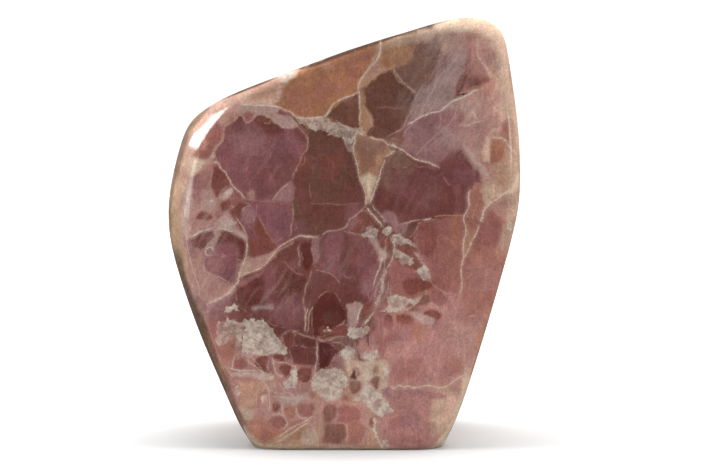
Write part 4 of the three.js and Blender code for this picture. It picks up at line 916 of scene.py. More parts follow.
# Veins: (tone, width, strength, route)
VEINS = (
    # upper left
    ("tan", 0.5, 0.75,
     "-29.6,95 -30.6,94 -31.4,92.8 -32.8,91.8 -33.4,90.6 -34,89 -34.8,87.2 -35.6,86 -36.2,84.6 -37,83 "
     "-37.8,81.8 -38.6,80.6 -40.4,79.2 -43,77.6 -44,76.8"),
    ("rose", 0.5, 0.6, "-30.6,100.2 -29.8,99 -29.4,97.6 -29.4,96 -29.6,95"),
    ("white", 0.35, 0.8, "-29.4,98 -24,97.6 -20,97.2 -17,96.6"),
    ("cream", 0.4, 0.85,
     "-17.6,96.7 -15.6,95.8 -13.8,94.6 -11.6,94.2 -9,94.2 -6,94.6 -4.8,95 -4.2,96.4 -3,97.6 0,99.8 "
     "4.2,101.6"),
    ("shadow", 0.3, 0.85, "-15,94.8 -13.8,93.6 -12.6,92.9 -11.2,91.9 -10,91.3 -9.6,90.9"),
    ("rose", 0.5, 0.6, "-13.2,92 -11.6,90.8 -10.6,89.4 -10.4,88"),
    ("lilac", 0.3, 0.6,
     "-28.6,95 -27.4,93.2 -26.2,93 -24.6,94.6 -22,95 -20.2,93.9 -18.6,92.6 -17,91.4 -14.6,91.4 "
     "-13,91.8"),
    ("rose", 0.35, 0.7,
     "-10.4,89.4 -10.3,87 -10.6,85.4 -11.4,84.4 -12,83 -12.4,81.6 -13,80.4 -13.8,79 -14.4,77.6 "
     "-14.4,76.2"),
    ("rose", 0.25, 0.5, "-11.2,84 -11.2,81.6 -12.4,80.6"),
    ("cream", 0.35, 0.85,
     "-37,81.6 -35.6,81.8 -34.8,81 -34.2,80 -33.2,79 -32.4,77.8 -31.6,76.2 -31.4,75.4 -30,74.2 "
     "-28.8,73.2 -27.2,71.2"),
    ("rose", 0.3, 0.4, "-27.2,71.2 -24.6,71.1 -22,70.8 -18.6,71.3"),
    ("cream", 0.25, 0.6, "-20,70.8 -18.2,73.2 -16.4,75.2 -14.9,76.2"),
    ("tan", 0.3, 0.55, "-36.8,80 -36.9,77 -37,73.6 -36,71.4"),
    ("rose", 0.3, 0.45, "-24.8,71 -24.6,68.6 -25,66"),
    ("rose", 0.3, 0.45, "-24,66.6 -22,63 -20,60 -19.4,58.6"),
    ("lilac", 0.25, 0.4, "-14.4,70.8 -14,68 -14.6,65 -15,61.6"),
    ("white", 0.5, 0.65, "-44,60.2 -42,60.8 -40.4,62 -38.4,63 -36.6,63.6"),
    ("lilac", 0.3, 0.6, "-41,63.2 -38,64.2 -36,65"),
    ("white", 0.3, 0.6, "-36,63 -34,63.2 -31.8,62.3 -30.4,62.8"),
    ("lilac", 0.7, 0.7, "-31,62.4 -29.4,62.2 -27.8,61.2 -26.9,59.6"),
    ("cream", 0.45, 0.75, "-27,60 -26.9,58.6 -27,57.2 -27.8,54.6 -28.6,52"),
    ("cream", 0.8, 0.75, "-28.6,52 -29.6,49.4 -30.4,47.4 -31.4,46 -33,44.6 -35,43.4 -37,42.4 -38.5,41.8"),
    ("rose", 0.25, 0.5, "-30.2,45 -30.3,43.6 -30.2,42.4"),
    ("cream", 0.4, 0.8,
     "-29.4,48.8 -27.8,50.4 -25.4,51.2 -23.4,52 -21.8,53.4 -20.4,55.2 -19,56.7 -17.6,58.2 -15.6,59.6 "
     "-14,60.4 -12.4,61.2 -10.8,61 -8,60.9 -6.8,61"),
    ("shadow", 0.3, 0.6, "-28.6,49.2 -26,50 -23.6,51 -22.4,51.8"),
    ("tan", 0.4, 0.7, "-20,55 -18.6,56.4 -16.6,57.8 -15,58.8 -13.8,60"),
    ("lilac", 0.3, 0.6, "-6.6,61 -5.4,62 -3.8,62.5 -1.6,62.6 0,63.2 1,64.2 2,65.8 3.6,66.8 5,68.4 6,69"),
    ("rose", 0.4, 0.5, "-0.6,62.8 1.6,62 3.8,61.4 5.4,60.6"),
    ("rose", 0.35, 0.5, "-17,54.4 -16,52.8 -14.6,51.4 -12.8,50.4 -10.6,49.8"),
    ("lilac", 0.4, 0.5, "-12.2,59.4 -12.8,57.4 -12.4,54.6 -12.2,52"),
    ("rose", 0.5, 0.6, "-8.8,52 -9.6,49.6 -10.6,47 -11,44 -10.8,41 -10.4,38 -10.9,35"),
    ("cream", 0.25, 0.7, "-8.4,41.4 -9.4,39.6 -10,37"),
    ("cream", 0.25, 0.7, "-9.8,41 -10.8,37.6 -10.9,33.6"),
    ("cream", 0.25, 0.6, "-9.4,38 -10.4,33.4"),
    ("rose", 0.4, 0.65,
     "-17.6,30.4 -17.4,32 -16.6,33.6 -15.2,34.4 -13.6,34.2 -11.6,33.2 -9.6,32.6 -7,32 -6,31.5 -4,31.6 "
     "-1.4,32.4 0.6,32.8 1.2,33.4"),
    ("white", 0.3, 0.65,
     "-36.2,56.4 -36.6,57.3 -37.4,57.6 -38.3,57.2 -38.6,56.4 -38.2,55.5 -37.4,55.2 -36.6,55.6"),
    ("lilac", 0.35, 0.5, "-34.6,56 -33.4,55.6 -32.4,55.2"),
    ("lilac", 0.3, 0.55, "-39.2,53.8 -38.6,50.8 -35,49.2 -31.6,47.6"),
    ("white", 0.4, 0.7, "-44.6,70 -44.5,68 -44.2,66"),
    ("cream", 0.3, 0.5, "-44.4,64 -44,60 -43.6,57.6 -42.4,51.6 -40,43.6"),
    ("tan", 0.7, 0.6, "-46.4,77.8 -46,72 -46.1,65 -45.2,58.6 -43.8,52"),
    ("white", 0.6, 0.7, "-37.7,71.4 -37,70.9 -36.5,70.5"),
    # upper right
    ("cream", 0.45, 0.8,
     "10.2,115.6 9.9,112.6 9.2,110.3 6.8,107.2 4.7,104.4 4.2,102.4 4.2,99.4 4.5,96 4.6,91.6"),
    ("cream", 0.45, 0.75,
     "4.6,91.4 3.4,89.6 2.9,87.4 2.6,85.2 3,82.6 3.6,80.6 4.1,78.6 4.6,76.8 5.2,75.4 5.8,73.6 6.3,71.6 "
     "6.5,69.2"),
    ("tan", 0.4, 0.65, "5.4,98.6 6,96.6 6.8,95.2 7.8,94 8.5,92.6"),
    ("tan", 0.4, 0.85,
     "5.6,102.6 7.4,104 9.2,105.6 11,107 12.4,107.8 13.8,107.6 14.6,106.2 15.8,104.8 17.4,103.4 19,102 "
     "20.2,101"),
    ("rose", 0.4, 0.35, "8.6,97 12,96.8 16.6,96.8"),
    ("rose", 0.35, 0.7, "19.8,97 18.8,95.6 17.6,94 17,92.6 16.4,91 15.2,90.4 13.4,89.6 12,88.7"),
    ("white", 0.3, 0.95,
     "17.2,92 18.2,92.6 19.4,92.9 20.4,93.6 21.4,94.2 23,94.8 24.8,95.4 26.6,95.7 27.6,96.4 28.8,97.6 "
     "29.8,98.6 31,99.1 33,99.7 35,100.8 36.6,101.8 38,101.9"),
    ("cream", 0.4, 0.8,
     "6.8,88.9 9,88.6 11,88.2 12.4,87.2 13.6,86.4 15.4,85.6 17.4,84.6 18.8,83.6 20.6,82.6 22.8,81.8 "
     "24.6,81 26.2,80.4 26.8,79.6"),
    ("rose", 0.3, 0.5, "15.6,87.4 14.2,88.2 13,88.2"),
    ("cream", 0.5, 0.8, "14.6,85 13.4,84.2 11.6,83.2"),
    ("cream", 0.4, 0.75, "11.6,83.2 11,81 10.4,79.4 10,77.6 9.4,76 8.8,74.2 7.8,71.4 7.4,69.4"),
    ("white", 0.5, 0.6, "13,86.6 14,86.2 15,85.4"),
    ("rose", 0.25, 0.5, "19.8,80.4 22,80.4 24,80.2 25.4,79.6"),
    ("cream", 0.5, 0.8, "6.6,69.4 7.4,68 8.8,66.6 10,65 11.4,63.4"),
    ("lilac", 0.5, 0.6, "8,70.4 8.8,68.8 10,67.4 11,66 11.6,64.4"),
    ("shadow", 0.4, 0.8, "30.8,100.1 32.2,100.4 33.6,100.6 34.6,101.4"),
    ("rose", 0.3, 0.6, "31.6,101 33.4,101.2 34.6,101.8 36,102.6 38,103.2 40,104"),
    ("cream", 0.4, 0.7, "37.3,115 37.2,112.4 37.8,110.4 38.8,109 40,107.4"),
    ("cream", 0.35, 0.6, "35.2,97.4 35.8,96 36.6,94.6 37.6,93.2"),
    ("cream", 0.5, 0.6, "40.4,89.2 41.6,90.6 43,92"),
    ("lilac", 0.3, 0.5, "20.4,118.8 21.4,117.6 23,115.4"),
    ("lilac", 0.3, 0.5, "26.9,95.4 27,92.4 25.6,91"),
    ("cream", 0.45, 0.8,
     "40.2,81.6 40.4,84 40.2,86.6 41,88.6 43.6,88.2 45,87.8 46.2,86.4 47.6,84.8 48.6,83"),
    ("cream", 0.8, 0.8, "48.9,79 48.4,76.4 47.4,74.8 45,73 43,71.4 41,70 39.6,68.4 38.8,66.8 38,64.6"),
    ("cream", 0.5, 0.7, "38,64.6 37.4,62 36,60 35.2,58.4 34.4,56.4 33.6,54.6"),
    ("cream", 0.5, 0.75,
     "35.6,74.4 34.8,73 34.6,71 34.6,69 34,67.4 33.6,66 34,64 33.8,61.6 33.4,58.6 33.4,54 32.9,51.6 "
     "33.2,48.6 33,46 32.6,44.2"),
    ("lilac", 0.3, 0.8, "15.8,64.8 17.6,65 19.4,65.4 21.6,65.6"),
    ("white", 0.45, 0.75, "21,65.5 23.4,65.5 25,66"),
    ("rose", 0.25, 0.8, "25,66 27,66.6 29,66.9 33.8,66.8"),
    ("rose", 0.25, 0.6, "35,67.8 36.4,68.1 37.8,68"),
    ("cream", 0.45, 0.8, "12.8,61.2 13.6,60 14.4,58.6 14.4,56.8 13.6,54.6 12.6,53 11.6,52"),
    ("white", 0.35, 0.6, "13.4,61 15.4,61.2 17.4,59.6 19.8,57.9"),
    ("lilac", 0.9, 0.7, "19.2,57 20.6,55.6 22,53 23.6,50 24.6,48.4"),
    ("rose", 0.35, 0.4, "26.6,62.4 28,60.6 29.6,59.6 31.8,57.6"),
    ("lilac", 1.0, 0.85, "11.8,52.4 11.2,50 10.6,48 10.8,46.4 10.2,44.4 9.6,42.6 9.2,40.8"),
    ("lilac", 0.3, 0.6, "12.6,49 12.2,46 11.6,44"),
    ("cream", 0.45, 0.75, "8.8,39.6 7.6,38.2 6.4,36.4 5.4,35.2"),
    ("white", 0.4, 0.7, "5.2,41.2 4.6,39.8 4.1,37.6 3.4,35.4"),
    ("rose", 0.3, 0.5, "27.6,78 28.8,76.4 30.4,75"),
    ("lilac", 1.1, 0.7, "33.4,86 35,84.4 36.6,82.4 38,80.8 39.6,79 40.4,77"),
    ("rose", 0.25, 0.35, "-10,70 -5,70.2 0,70 5,70.2"),
    ("rose", 0.25, 0.35, "-9.4,76.4 -9.5,74 -9.4,71"),
    # lower right
    ("cream", 0.4, 0.75,
     "12.6,18 14.4,17.9 15.6,18.6 17,18.3 18.8,18.6 20,18.1 22,18.5 24,18.7 26,18.2 28,18.2 29.6,18.8 "
     "31,20 33,21 34.8,21.6"),
    ("white", 0.8, 0.85, "8.8,10 8.8,8 8.6,6.4 9.2,4.4 10,2.6 10.6,1 11,-1"),
    ("rose", 0.3, 0.6, "24.9,47.8 25.8,46.4 27.4,45.4 28.8,44.8 32,44.6"),
    ("rose", 0.3, 0.6, "19.6,40.6 22,40.9 23.6,40.5 27.2,39.9"),
    ("lilac", 0.6, 0.6, "23.2,42 25.4,41.4 27.4,40.2"),
    ("rose", 0.9, 0.5, "27.6,40.2 30,39 32,37.4 33.6,35.6"),
    ("cream", 0.25, 0.6, "35.2,38.4 36.4,38.5 37.8,38"),
    ("rose", 0.25, 0.4, "36.4,46.2 39.6,46 42,48"),
    ("rose", 0.25, 0.5, "28,34 27.4,31.6 29,29.4"),
    ("cream", 0.3, 0.55, "12.6,40.6 16.6,40 18.8,40.8 21.6,44"),
    ("rose", 0.25, 0.45, "13.4,20 15.6,23.6 14,27 13,31"),
    ("tan", 0.5, 0.6, "2,15.6 3.2,15.6 4.4,15.8"),
    # centre
    ("lilac", 0.4, 0.8, "-7.3,32 -7.3,28 -7.4,25 -8,22.6 -8.4,20.8"),
    ("rose", 0.4, 0.6, "-7.2,16 -7.4,12.6 -6.9,8 -6,4 -5,2.2"),
    ("rose", 0.4, 0.7, "-2.6,35.2 -1.6,35.8 -0.6,36.2 0.6,36.8"),
    ("tan", 0.3, 0.6, "-4,30.6 -1,30.8 0.4,30"),
    ("rose", 0.3, 0.5, "3,30.6 4,29 4.8,27.6 5.6,26.4"),
    ("rose", 0.4, 0.6, "-8.6,51.4 -5,50.8 -2.8,49.8 -1.6,48.6 -0.8,47"),
    ("rose", 0.3, 0.5, "0,51 0.2,50 1.4,49.2 2.6,49.4"),
    ("rose", 0.5, 0.45, "9.8,39 9.7,36 9.7,33"),
    # lower left
    ("cream", 0.35, 0.85, "-19,3.8 -16,5.8 -13.6,6.9 -11.4,8 -10,9.4 -8.6,10"),
    ("rose", 0.3, 0.5, "-34.2,26 -33.4,23.2 -32.4,20.6"),
    ("cream", 0.35, 0.75, "-20.1,27 -19.9,25 -19.7,22.6 -18.6,21.4 -17,21"),
    ("cream", 0.3, 0.7, "-27.3,26.6 -26.4,25 -25,24.2 -22.4,21.8 -20.4,21.6"),
    ("cream", 0.25, 0.6, "-20,25.3 -18.6,25.1 -16.4,25.4 -14.6,24.4 -13.2,24.4"),
    ("cream", 0.25, 0.6, "-32,22.6 -31.4,24.2 -31,26.4 -30.2,27.4"),
    ("ochre", 0.8, 0.9, "-35,24.8 -34.4,23.4 -34.2,22"),
    ("cream", 0.4, 0.8, "-28.3,6.5 -27,3.5 -25,1.8 -22,1.3"),
    ("cream", 0.25, 0.5, "-20.4,15.6 -17.4,15.2 -14.6,14.8 -11.2,16"),
    ("rose", 0.25, 0.5, "-21,11.2 -17.4,11.1 -14,10.1 -10.6,10.5"),
    ("white", 0.3, 0.6, "-33.2,23.4 -30,22.9 -27.2,23 -24,22.4"),
    ("cream", 0.25, 0.6, "-38.8,42.2 -38.2,41.4 -37.8,40.6"),
    # last fine veins
    ("lilac", 0.3, 0.5, "16,88.4 18,91 20.4,94 22.6,97.6 24.4,101.4 26,105.4"),
    ("lilac", 0.3, 0.45, "20,83.4 22.6,86.6 25.2,89 28,91.2 30.4,94.4 31.6,97.4"),
    ("rose", 0.3, 0.45, "15.4,86.2 19,86.6 22.4,85.8 25.6,84"),
    ("cream", 0.3, 0.5, "31.4,91.4 34,91.8 36.6,93 39.4,93.4"),
    ("lilac", 0.3, 0.5, "12.4,61 11.6,58 11.4,54 10.6,50 9.2,46.6 8.6,43"),
    ("white", 0.35, 0.6, "10.8,55.6 10,52.4 8.8,49.4 8,46.4"),
    ("rose", 0.3, 0.5, "-30.4,13 -26,15.6 -21.6,17 -16.4,16.4"),
    ("rose", 0.25, 0.5, "-15,16.4 -13.6,13.4 -13.4,9.4 -12.8,5"),
    ("cream", 0.3, 0.65, "-21,10.4 -18.4,10.6 -17,9.9 -16.2,8.4 -16.6,7 -18,5.6"),
    ("cream", 0.3, 0.65, "-17.6,13.6 -17.4,11.6 -17,9.9"),
    ("cream", 0.3, 0.65, "-13.2,13 -13.2,10.6 -12.4,9.4 -10,8.9"),
    ("cream", 0.4, 0.85, "-19.6,2.3 -16.4,4 -13,6 -9.8,8.2"),
    ("cream", 0.35, 0.6, "-9.8,8.2 -8.6,5.6 -7.6,3 -7,1.4"),
    ("tan", 0.6, 0.7, "-7,23 -7.2,17 -6.9,10 -7,1.4"),
    ("cream", 0.3, 0.5, "-2,8.2 0.8,7.4 1,4.6 0.6,2"),
    ("tan", 0.35, 0.6, "-39.8,40.4 -38.4,36 -36.6,30.6 -34.6,24.6 -33.6,20.4"),
    ("lilac", 0.4, 0.6, "-21.2,17.6 -18.4,16.2 -15.6,16.4 -13,14.8 -10.6,15.2 -8.6,14"),
    ("lilac", 0.3, 0.6, "-19.6,20 -17.6,18 -16.4,16.2"),
    ("lilac", 0.3, 0.5, "-14.6,19 -13.4,17 -13,14.8"),
    ("cream", 0.3, 0.6, "-23.4,19.6 -21.2,17.6 -20.9,14.4 -21.4,11"),
    ("lilac", 0.3, 0.5, "-26,26.8 -23.6,24 -22.4,21.4"),
    ("white", 0.3, 0.5, "-30.6,66.6 -28.4,64 -26.6,60.4"),
    ("lilac", 0.3, 0.5, "-43.4,66 -39.6,69.4 -36.4,71.6"),
)

# Tints along the outline: (colour, first angle, last angle, width, strength), anticlockwise from +X. Some
# are the stone's own colour; the top edge and the brown rim on top are painted shade, the dark and olive
# rims partly painted shade, and the cream along the bottom partly painted light
RIMS = (
    ("biscuit", -4, 64, 4.6, 0.7),
    # painted shade on the upward rounding of the top, toning down the overhead light
    ("brown rim and painted shade", 62, 150, 5.0, 0.4),
    ("cream", 50, 78, 4.6, 0.5),
    ("shell", 128, 166, 4.8, 0.55),
    ("olive cream", 160, 196, 4.4, 0.5),
    ("olive rim and painted shade", 150, 188, 1.8, 0.8),
    ("brown rim and painted shade", 190, 246, 3.6, 0.9),
    ("dark rim and painted shade", 184, 216, 3.4, 0.9),
    ("dark rim and painted shade", 206, 246, 1.7, 0.9),
    # partly painted light: lifts the shade along the bottom edge, over a pale line of the stone
    ("cream", 244, 312, 3.2, 1.0),
    # painted shade: the thin dark line on the lower right edge
    ("dark rim and painted shade", 312, 352, 1.3, 0.5),
    # painted shade: thin dark line along the right edge
    ("olive rim and painted shade", -10, 48, 1.2, 0.5),
    ("olive rim and painted shade", 134, 152, 1.8, 0.9),
    # painted shade: darkens the top edge, which the overhead light would wash out
    ("top edge", 62, 136, 1.6, 1.0),
)
# Stretches of the edge that are less well polished: (first angle, last angle, width)
DULL_EDGES = ((16, 146, 3.0), (162, 200, 4.5))
RIM_FADE = 4  # degrees on either side of the end of a stretch over which it fades
RIM_INWARD = (1.15, 0.75)  # shares of its width between which a stretch fades inwards
RIM_FRONT = (2, -6)  # depths from the middle between which it sets in, so that it keeps to the front
RIM_LEAD = 30  # degrees before the start of a stretch that are counted as below its start
RIM_WANDER = 0.25  # share of its width by which its inner border wanders

# How the pattern of the face runs on through the stone
SLIDE = np.array([0.9, -0.35])  # the markings drift this much for each millimetre of depth
SLIDE_FROM = (3, 14)  # depths between which that drift sets in
BEND = 5  # the markings of the back are bent by up to this much
BEND_FROM = (8, 30)  # depths between which the bending sets in
BEND_SIZE = 26
PATTERN_LOW = np.array([-50.6, -3.0])  # past these edges the pattern is folded back
PATTERN_HIGH = np.array([50.6, 125.0])
TURNED_SLANT = 0.9  # drop of what lies past the right edge, so that the back isn't symmetrical
# (size, reach, seed) of the fine wandering of every marking
WOBBLES = ((4.5, 0.35, 3), (1.7, 0.24, 5))

# How soft the borders of the cells are
CRISP = 0.6  # a cell with a border no softer than this has true corners, and a fine seam around it
MILKINESS = 0.3  # every border is blurred by this much more, as the clear top layer of the stone does
PLAIN_SOFTNESS = {4: 2.2, 5: 1.4}  # cells of so few corners are drifts of colour without a border
PLAIN_STRENGTH = 0.7
FEATHER = 0.45  # share of a border's softness by which it wanders
FEATHER_CLOUDS = ((3.2, 1.0, 9), (1.3, 0.7, 10))  # (size, reach, seed) of that wandering
DRIFT_FALL = 2.5  # how quickly a drift gives way to the next one
DRIFT_CORE = 0.5  # square millimetres that keep the middle of a drift even

# How far the markings are felt
FAR = 3.2  # a vein, seam or chalky patch is felt this far away
FAR_RATIO = 12  # distance in half widths that stands for no vein at all
VEIN_GAP = 2.6  # veins of one set stay this far apart, so that each set can be one attribute
TAPER_LENGTH = 1.2  # a vein thins out over this much of each end
TAPER_MOST = 0.3  # or over this share of it, if that is shorter
LOOSE_WHITENESS = 0.7  # whiteness away from every chalky patch

# Numbers that turn a place into a smooth random value
CLOUD_KEY = np.array([127.1, 311.7, 74.7])
CLOUD_SPREAD = 43758.5453
SEED_SHIFT = 17.13
SEED_KEY = 53.7


def places(text):
    """The (x, z) places written in a list of markings."""
    return np.array([[float(number) for number in place.split(",")] for place in text.split()])


def from_srgb(colour):
    """A colour given in the usual 0-255 steps, as linear light."""
    c = np.array(colour, float) / 255
    return np.where(c <= 0.04045, c / 12.92, ((c + 0.055) / 1.055) ** 2.4)


def stone_colour(name):
    """One of the stone's colours, as linear light."""
    return from_srgb(STONE_COLOURS[name])


def smooth_step(low, high, value):
    """A smooth rise from 0 at low to 1 at high."""
    t = np.clip((value - low) / (high - low), 0, 1)
    return t * t * (3 - 2 * t)


def cloud(points, size, seed):
    """Smooth random values in -1..1, with features of about the given size."""
    at = points / size + seed * SEED_SHIFT
    cell = np.floor(at)
    t = smooth_step(0, 1, at - cell)
    total = 0
    for corner in range(8):
        step = np.array([corner >> 2 & 1, corner >> 1 & 1, corner & 1])
        value = np.sin((cell + step) @ CLOUD_KEY + seed * SEED_KEY) * CLOUD_SPREAD
        weight = np.prod(np.where(step == 1, t, 1 - t), axis=1)
        total = total + weight * (value - np.floor(value))
    return 2 * total - 1


def cloud_shift(points, size, seed):
    """Smooth random shifts of x and z, each in -1..1."""
    return np.column_stack([cloud(points, size, seed), cloud(points, size, seed + 1)])


def smooth_route(route, step=0.5):
    """Points along a smooth curve through a vein's places."""
    ends = np.vstack([2 * route[0] - route[1], route, 2 * route[-1] - route[-2]])
    made = []
    for i in range(len(route) - 1):
        a, b, c, d = ends[i : i + 4]
        count = max(2, int(np.linalg.norm(c - b) / step))
        for t in np.arange(count) / count:
            bent = 2 * b + (c - a) * t + (2 * a - 5 * b + 4 * c - d) * t**2
            made.append(0.5 * (bent + (3 * b - 3 * c + d - a) * t**3))
    made.append(route[-1])
    return np.array(made)


def round_outline(corners):
    """A smooth closed outline through a cell's corners."""
    for _ in range(2):
        before, after, beyond = (np.roll(corners, turn, axis=0) for turn in (1, -1, -2))
        middle = (9 * (corners + after) - before - beyond) / 16
        corners = np.stack([corners, middle], axis=1).reshape(-1, 2)
    return corners


def route_distance(route, at):
    """Signed distance from points to a route, how far along it (0 to 1) each is, and its length."""
    start = route[:-1]
    step = np.diff(route, axis=0)
    length = np.linalg.norm(step, axis=1)
    before = np.concatenate([[0], np.cumsum(length)])
    away = at[:, None] - start
    share = np.clip((away * step).sum(axis=2) / length**2, 0, 1)
    off = away - share[:, :, None] * step
    distance = np.linalg.norm(off, axis=2)
    nearest = distance.argmin(axis=1)
    rows = np.arange(len(at))
    side = step[nearest, 0] * off[rows, nearest, 1] - step[nearest, 1] * off[rows, nearest, 0]
    along = (before[nearest] + share[rows, nearest] * length[nearest]) / before[-1]
    return np.where(side < 0, -1, 1) * distance[rows, nearest], along, before[-1]


def outline_distance(outline, at):
    """Distance from points to a closed outline, positive inside it."""
    following = np.roll(outline, -1, axis=0)
    step = following - outline
    away = at[:, None] - outline
    share = np.clip((away * step).sum(axis=2) / (step**2).sum(axis=1), 0, 1)
    distance = np.linalg.norm(away - share[:, :, None] * step, axis=2).min(axis=1)
    above = outline[:, 1] > at[:, None, 1]
    above_next = following[:, 1] > at[:, None, 1]
    with np.errstate(divide="ignore", invalid="ignore"):
        crossing = outline[:, 0] + (at[:, None, 1] - outline[:, 1]) * step[:, 0] / step[:, 1]
    inside = ((above != above_next) & (at[:, None, 0] < crossing)).sum(axis=1) % 2 == 1
    return np.where(inside, distance, -distance)


def near(at, route, margin):
    """Indices of the points within a margin of a route's bounding box."""
    low = route.min(axis=0) - margin
    high = route.max(axis=0) + margin
    return np.where(((at >= low) & (at <= high)).all(axis=1))[0]


def pattern_places(points):
    """Where each surface point lies in the (x, z) markings, whose structure runs through the stone."""
    x = points[:, 0] - MIDDLE[0]
    z = points[:, 2] - MIDDLE[2]
    depth = np.maximum(points[:, 1] - (MIDDLE[1] + plane_y(FACE_NORMAL, FACE_DISTANCE, x, z)), 0)
    inner = smooth_step(*SLIDE_FROM, depth) * depth
    at = points[:, [0, 2]] + SLIDE * inner[:, None]
    deep = smooth_step(*BEND_FROM, depth)[:, None]
    at = at + deep * BEND * cloud_shift(points, BEND_SIZE, 1)
    at[:, 1] -= TURNED_SLANT * np.maximum(at[:, 0] - PATTERN_HIGH[0], 0)
    at = np.where(at > PATTERN_HIGH, 2 * PATTERN_HIGH - at, at)
    at = np.where(at < PATTERN_LOW, 2 * PATTERN_LOW - at, at)
    wobble = sum(cloud_shift(points, size, seed) * reach for size, reach, seed in WOBBLES)
    return at + wobble


def zone_strength(at, x, z, half_width, half_height):
    """How much each place belongs to a soft round zone."""
    away = ((at - (x, z)) / (half_width, half_height)) ** 2
    return np.exp(-away.sum(axis=1))


def drifting_colour(at):
    """The broad drift of colour across the stone."""
    total = 0
    weight = 0
    for name, x, z, size in DRIFT:
        w = (size**2 / (((at - (x, z)) ** 2).sum(axis=1) + DRIFT_CORE)) ** DRIFT_FALL
        total = total + w[:, None] * stone_colour(name)
        weight = weight + w
    return total / weight[:, None]


def lay_cells(colour, at):
    """Lays the cells over the drift, each with its own soft border."""
    flat = np.column_stack([at, np.zeros(len(at))])
    feather = FEATHER * sum(reach * cloud(flat, size, seed) for size, reach, seed in FEATHER_CLOUDS)
    for name, soft, corners in CELLS:
        outline = places(corners)
        strength = PLAIN_STRENGTH if len(outline) in PLAIN_SOFTNESS else 1.0
        soft = MILKINESS + max(soft, PLAIN_SOFTNESS.get(len(outline), 0))
        if soft > CRISP + MILKINESS:
            outline = round_outline(outline)
        some = near(at, outline, soft)
        inside = outline_distance(outline, at[some]) + soft * feather[some]
        share = strength * smooth_step(-soft / 2, soft / 2, inside)[:, None]
        colour[some] += share * (stone_colour(name) - colour[some])


def ground_colour(at):
    """The colour of the stone between its veins, as linear light, with a few zones of painted light from
    SHADES.
    """
    colour = drifting_colour(at)
    lay_cells(colour, at)
    for *zone, change in SHADES:
        colour *= 1 + change * zone_strength(at, *zone)[:, None]
    return colour


def seam_distance(at):
    """Distance from each point to the nearest crisp cell border."""
    made = np.full(len(at), FAR)
    for _, soft, corners in CELLS:
        outline = places(corners)
        if soft > CRISP or len(outline) in PLAIN_SOFTNESS:
            continue
        some = near(at, outline, FAR)
        made[some] = np.minimum(made[some], np.abs(outline_distance(outline, at[some])))
    return made


def rim_share(points, first, last, width):
    """How much each point belongs to a stretch of the front's outline, between two angles."""
    x = points[:, 0] - MIDDLE[0]
    z = points[:, 2] - MIDDLE[2]
    turned = (np.degrees(np.arctan2(z, x)) - first) % 360
    turned = np.where(turned > 360 - RIM_LEAD, turned - 360, turned)
    length = last - first
    ends = smooth_step(-RIM_FADE, RIM_FADE, turned)
    ends = ends * smooth_step(length + RIM_FADE, length - RIM_FADE, turned)
    front = smooth_step(*RIM_FRONT, points[:, 1] - MIDDLE[1] + 4 * cloud(points, 9, 7))
    wander = 1 + RIM_WANDER * cloud(points, 7, 8)
    outer, inner = RIM_INWARD
    return ends * front * smooth_step(outer * width, inner * width, outline_inset(x, z) * wander)


def add_rims(colour, points):
    """The colours that the rounded edges of the face show: partly the stone's own, partly painted shade and
    painted light.
    """
    for name, first, last, width, strength in RIMS:
        share = strength * rim_share(points, first, last, width)
        colour += share[:, None] * (stone_colour(name) - colour)


def dust_share(at):
    """How thickly the fine pale specks lie."""
    share = 0
    for *zone, strength in DUST:
        share = np.maximum(share, strength * zone_strength(at, *zone))
    return share


def vein_sets():
    """Sorts the veins into sets whose members lie apart."""
    sets = []
    for tone, width, strength, route in VEINS:
        line = smooth_route(places(route))
        for members in sets:
            gaps = (np.linalg.norm(line[:, None] - other[3], axis=2).min() for other in members)
            if all(gap > VEIN_GAP for gap in gaps):
                members.append((tone, width, strength, line))
                break
        else:
            sets.append([(tone, width, strength, line)])
    return sets


def vein_marks(members, at):
    """For each point: distance in half widths, strength and tone of the nearest vein in a set."""
    made = np.zeros((len(at), 3))
    made[:, 0] = FAR_RATIO
    closest = np.full(len(at), FAR)
    for tone, width, strength, line in members:
        some = near(at, line, FAR)
        distance, along, length = route_distance(line, at[some])
        nearer = np.abs(distance) < closest[some]
        some, distance, along = some[nearer], distance[nearer], along[nearer]
        closest[some] = np.abs(distance)
        taper = min(TAPER_MOST, TAPER_LENGTH / length)
        made[some, 0] = 2 * distance / width
        made[some, 1] = strength * (smooth_step(0, taper, along) * smooth_step(1, 1 - taper, along))
        made[some, 2] = TONES[tone]
    return made


def chalk_marks(at):
    """For each point: distance into the nearest chalky patch, and how white that patch is."""
    made = np.full((len(at), 3), -FAR)
    made[:, 1:] = LOOSE_WHITENESS
    for whiteness, corners in CHALK:
        outline = places(corners)
        some = near(at, outline, FAR)
        inside = outline_distance(outline, at[some])
        nearer = inside > made[some, 0]
        made[some[nearer], 0] = inside[nearer]
        made[some[nearer], 1] = whiteness
    return made


def write_marks(mesh, name, values):
    """Keeps three numbers for each vertex, for the material to read."""
    marks = mesh.attributes.new(name, "FLOAT_VECTOR", "POINT")
    marks.data.foreach_set("vector", values.astype(np.float32).ravel())


def mark_stone(mesh):
    """Writes the markings on the stone's vertices, and tells how many sets of veins there are."""
    points = np.empty(len(mesh.vertices) * 3)
    mesh.vertices.foreach_get("co", points)
    points = points.reshape(-1, 3) / MM
    at = pattern_places(points)
    colour = ground_colour(at)
    add_rims(colour, points)
    # the ground colour also carries the painted shade and light of the rims and zones
    write_marks(mesh, "ground", colour)
    write_marks(mesh, "chalk", chalk_marks(at))
    dull = np.max([rim_share(points, *stretch) for stretch in DULL_EDGES], axis=0)
    write_marks(mesh, "touch", np.column_stack([seam_distance(at), dust_share(at), dull]))
    sets = vein_sets()
    for number, members in enumerate(sets):
        write_marks(mesh, f"veins {number}", vein_marks(members, at))
    return len(sets)


# ---------------------------------------------------------------------------------------------
# Material
# ---------------------------------------------------------------------------------------------

WHITE = (1, 1, 1, 1)

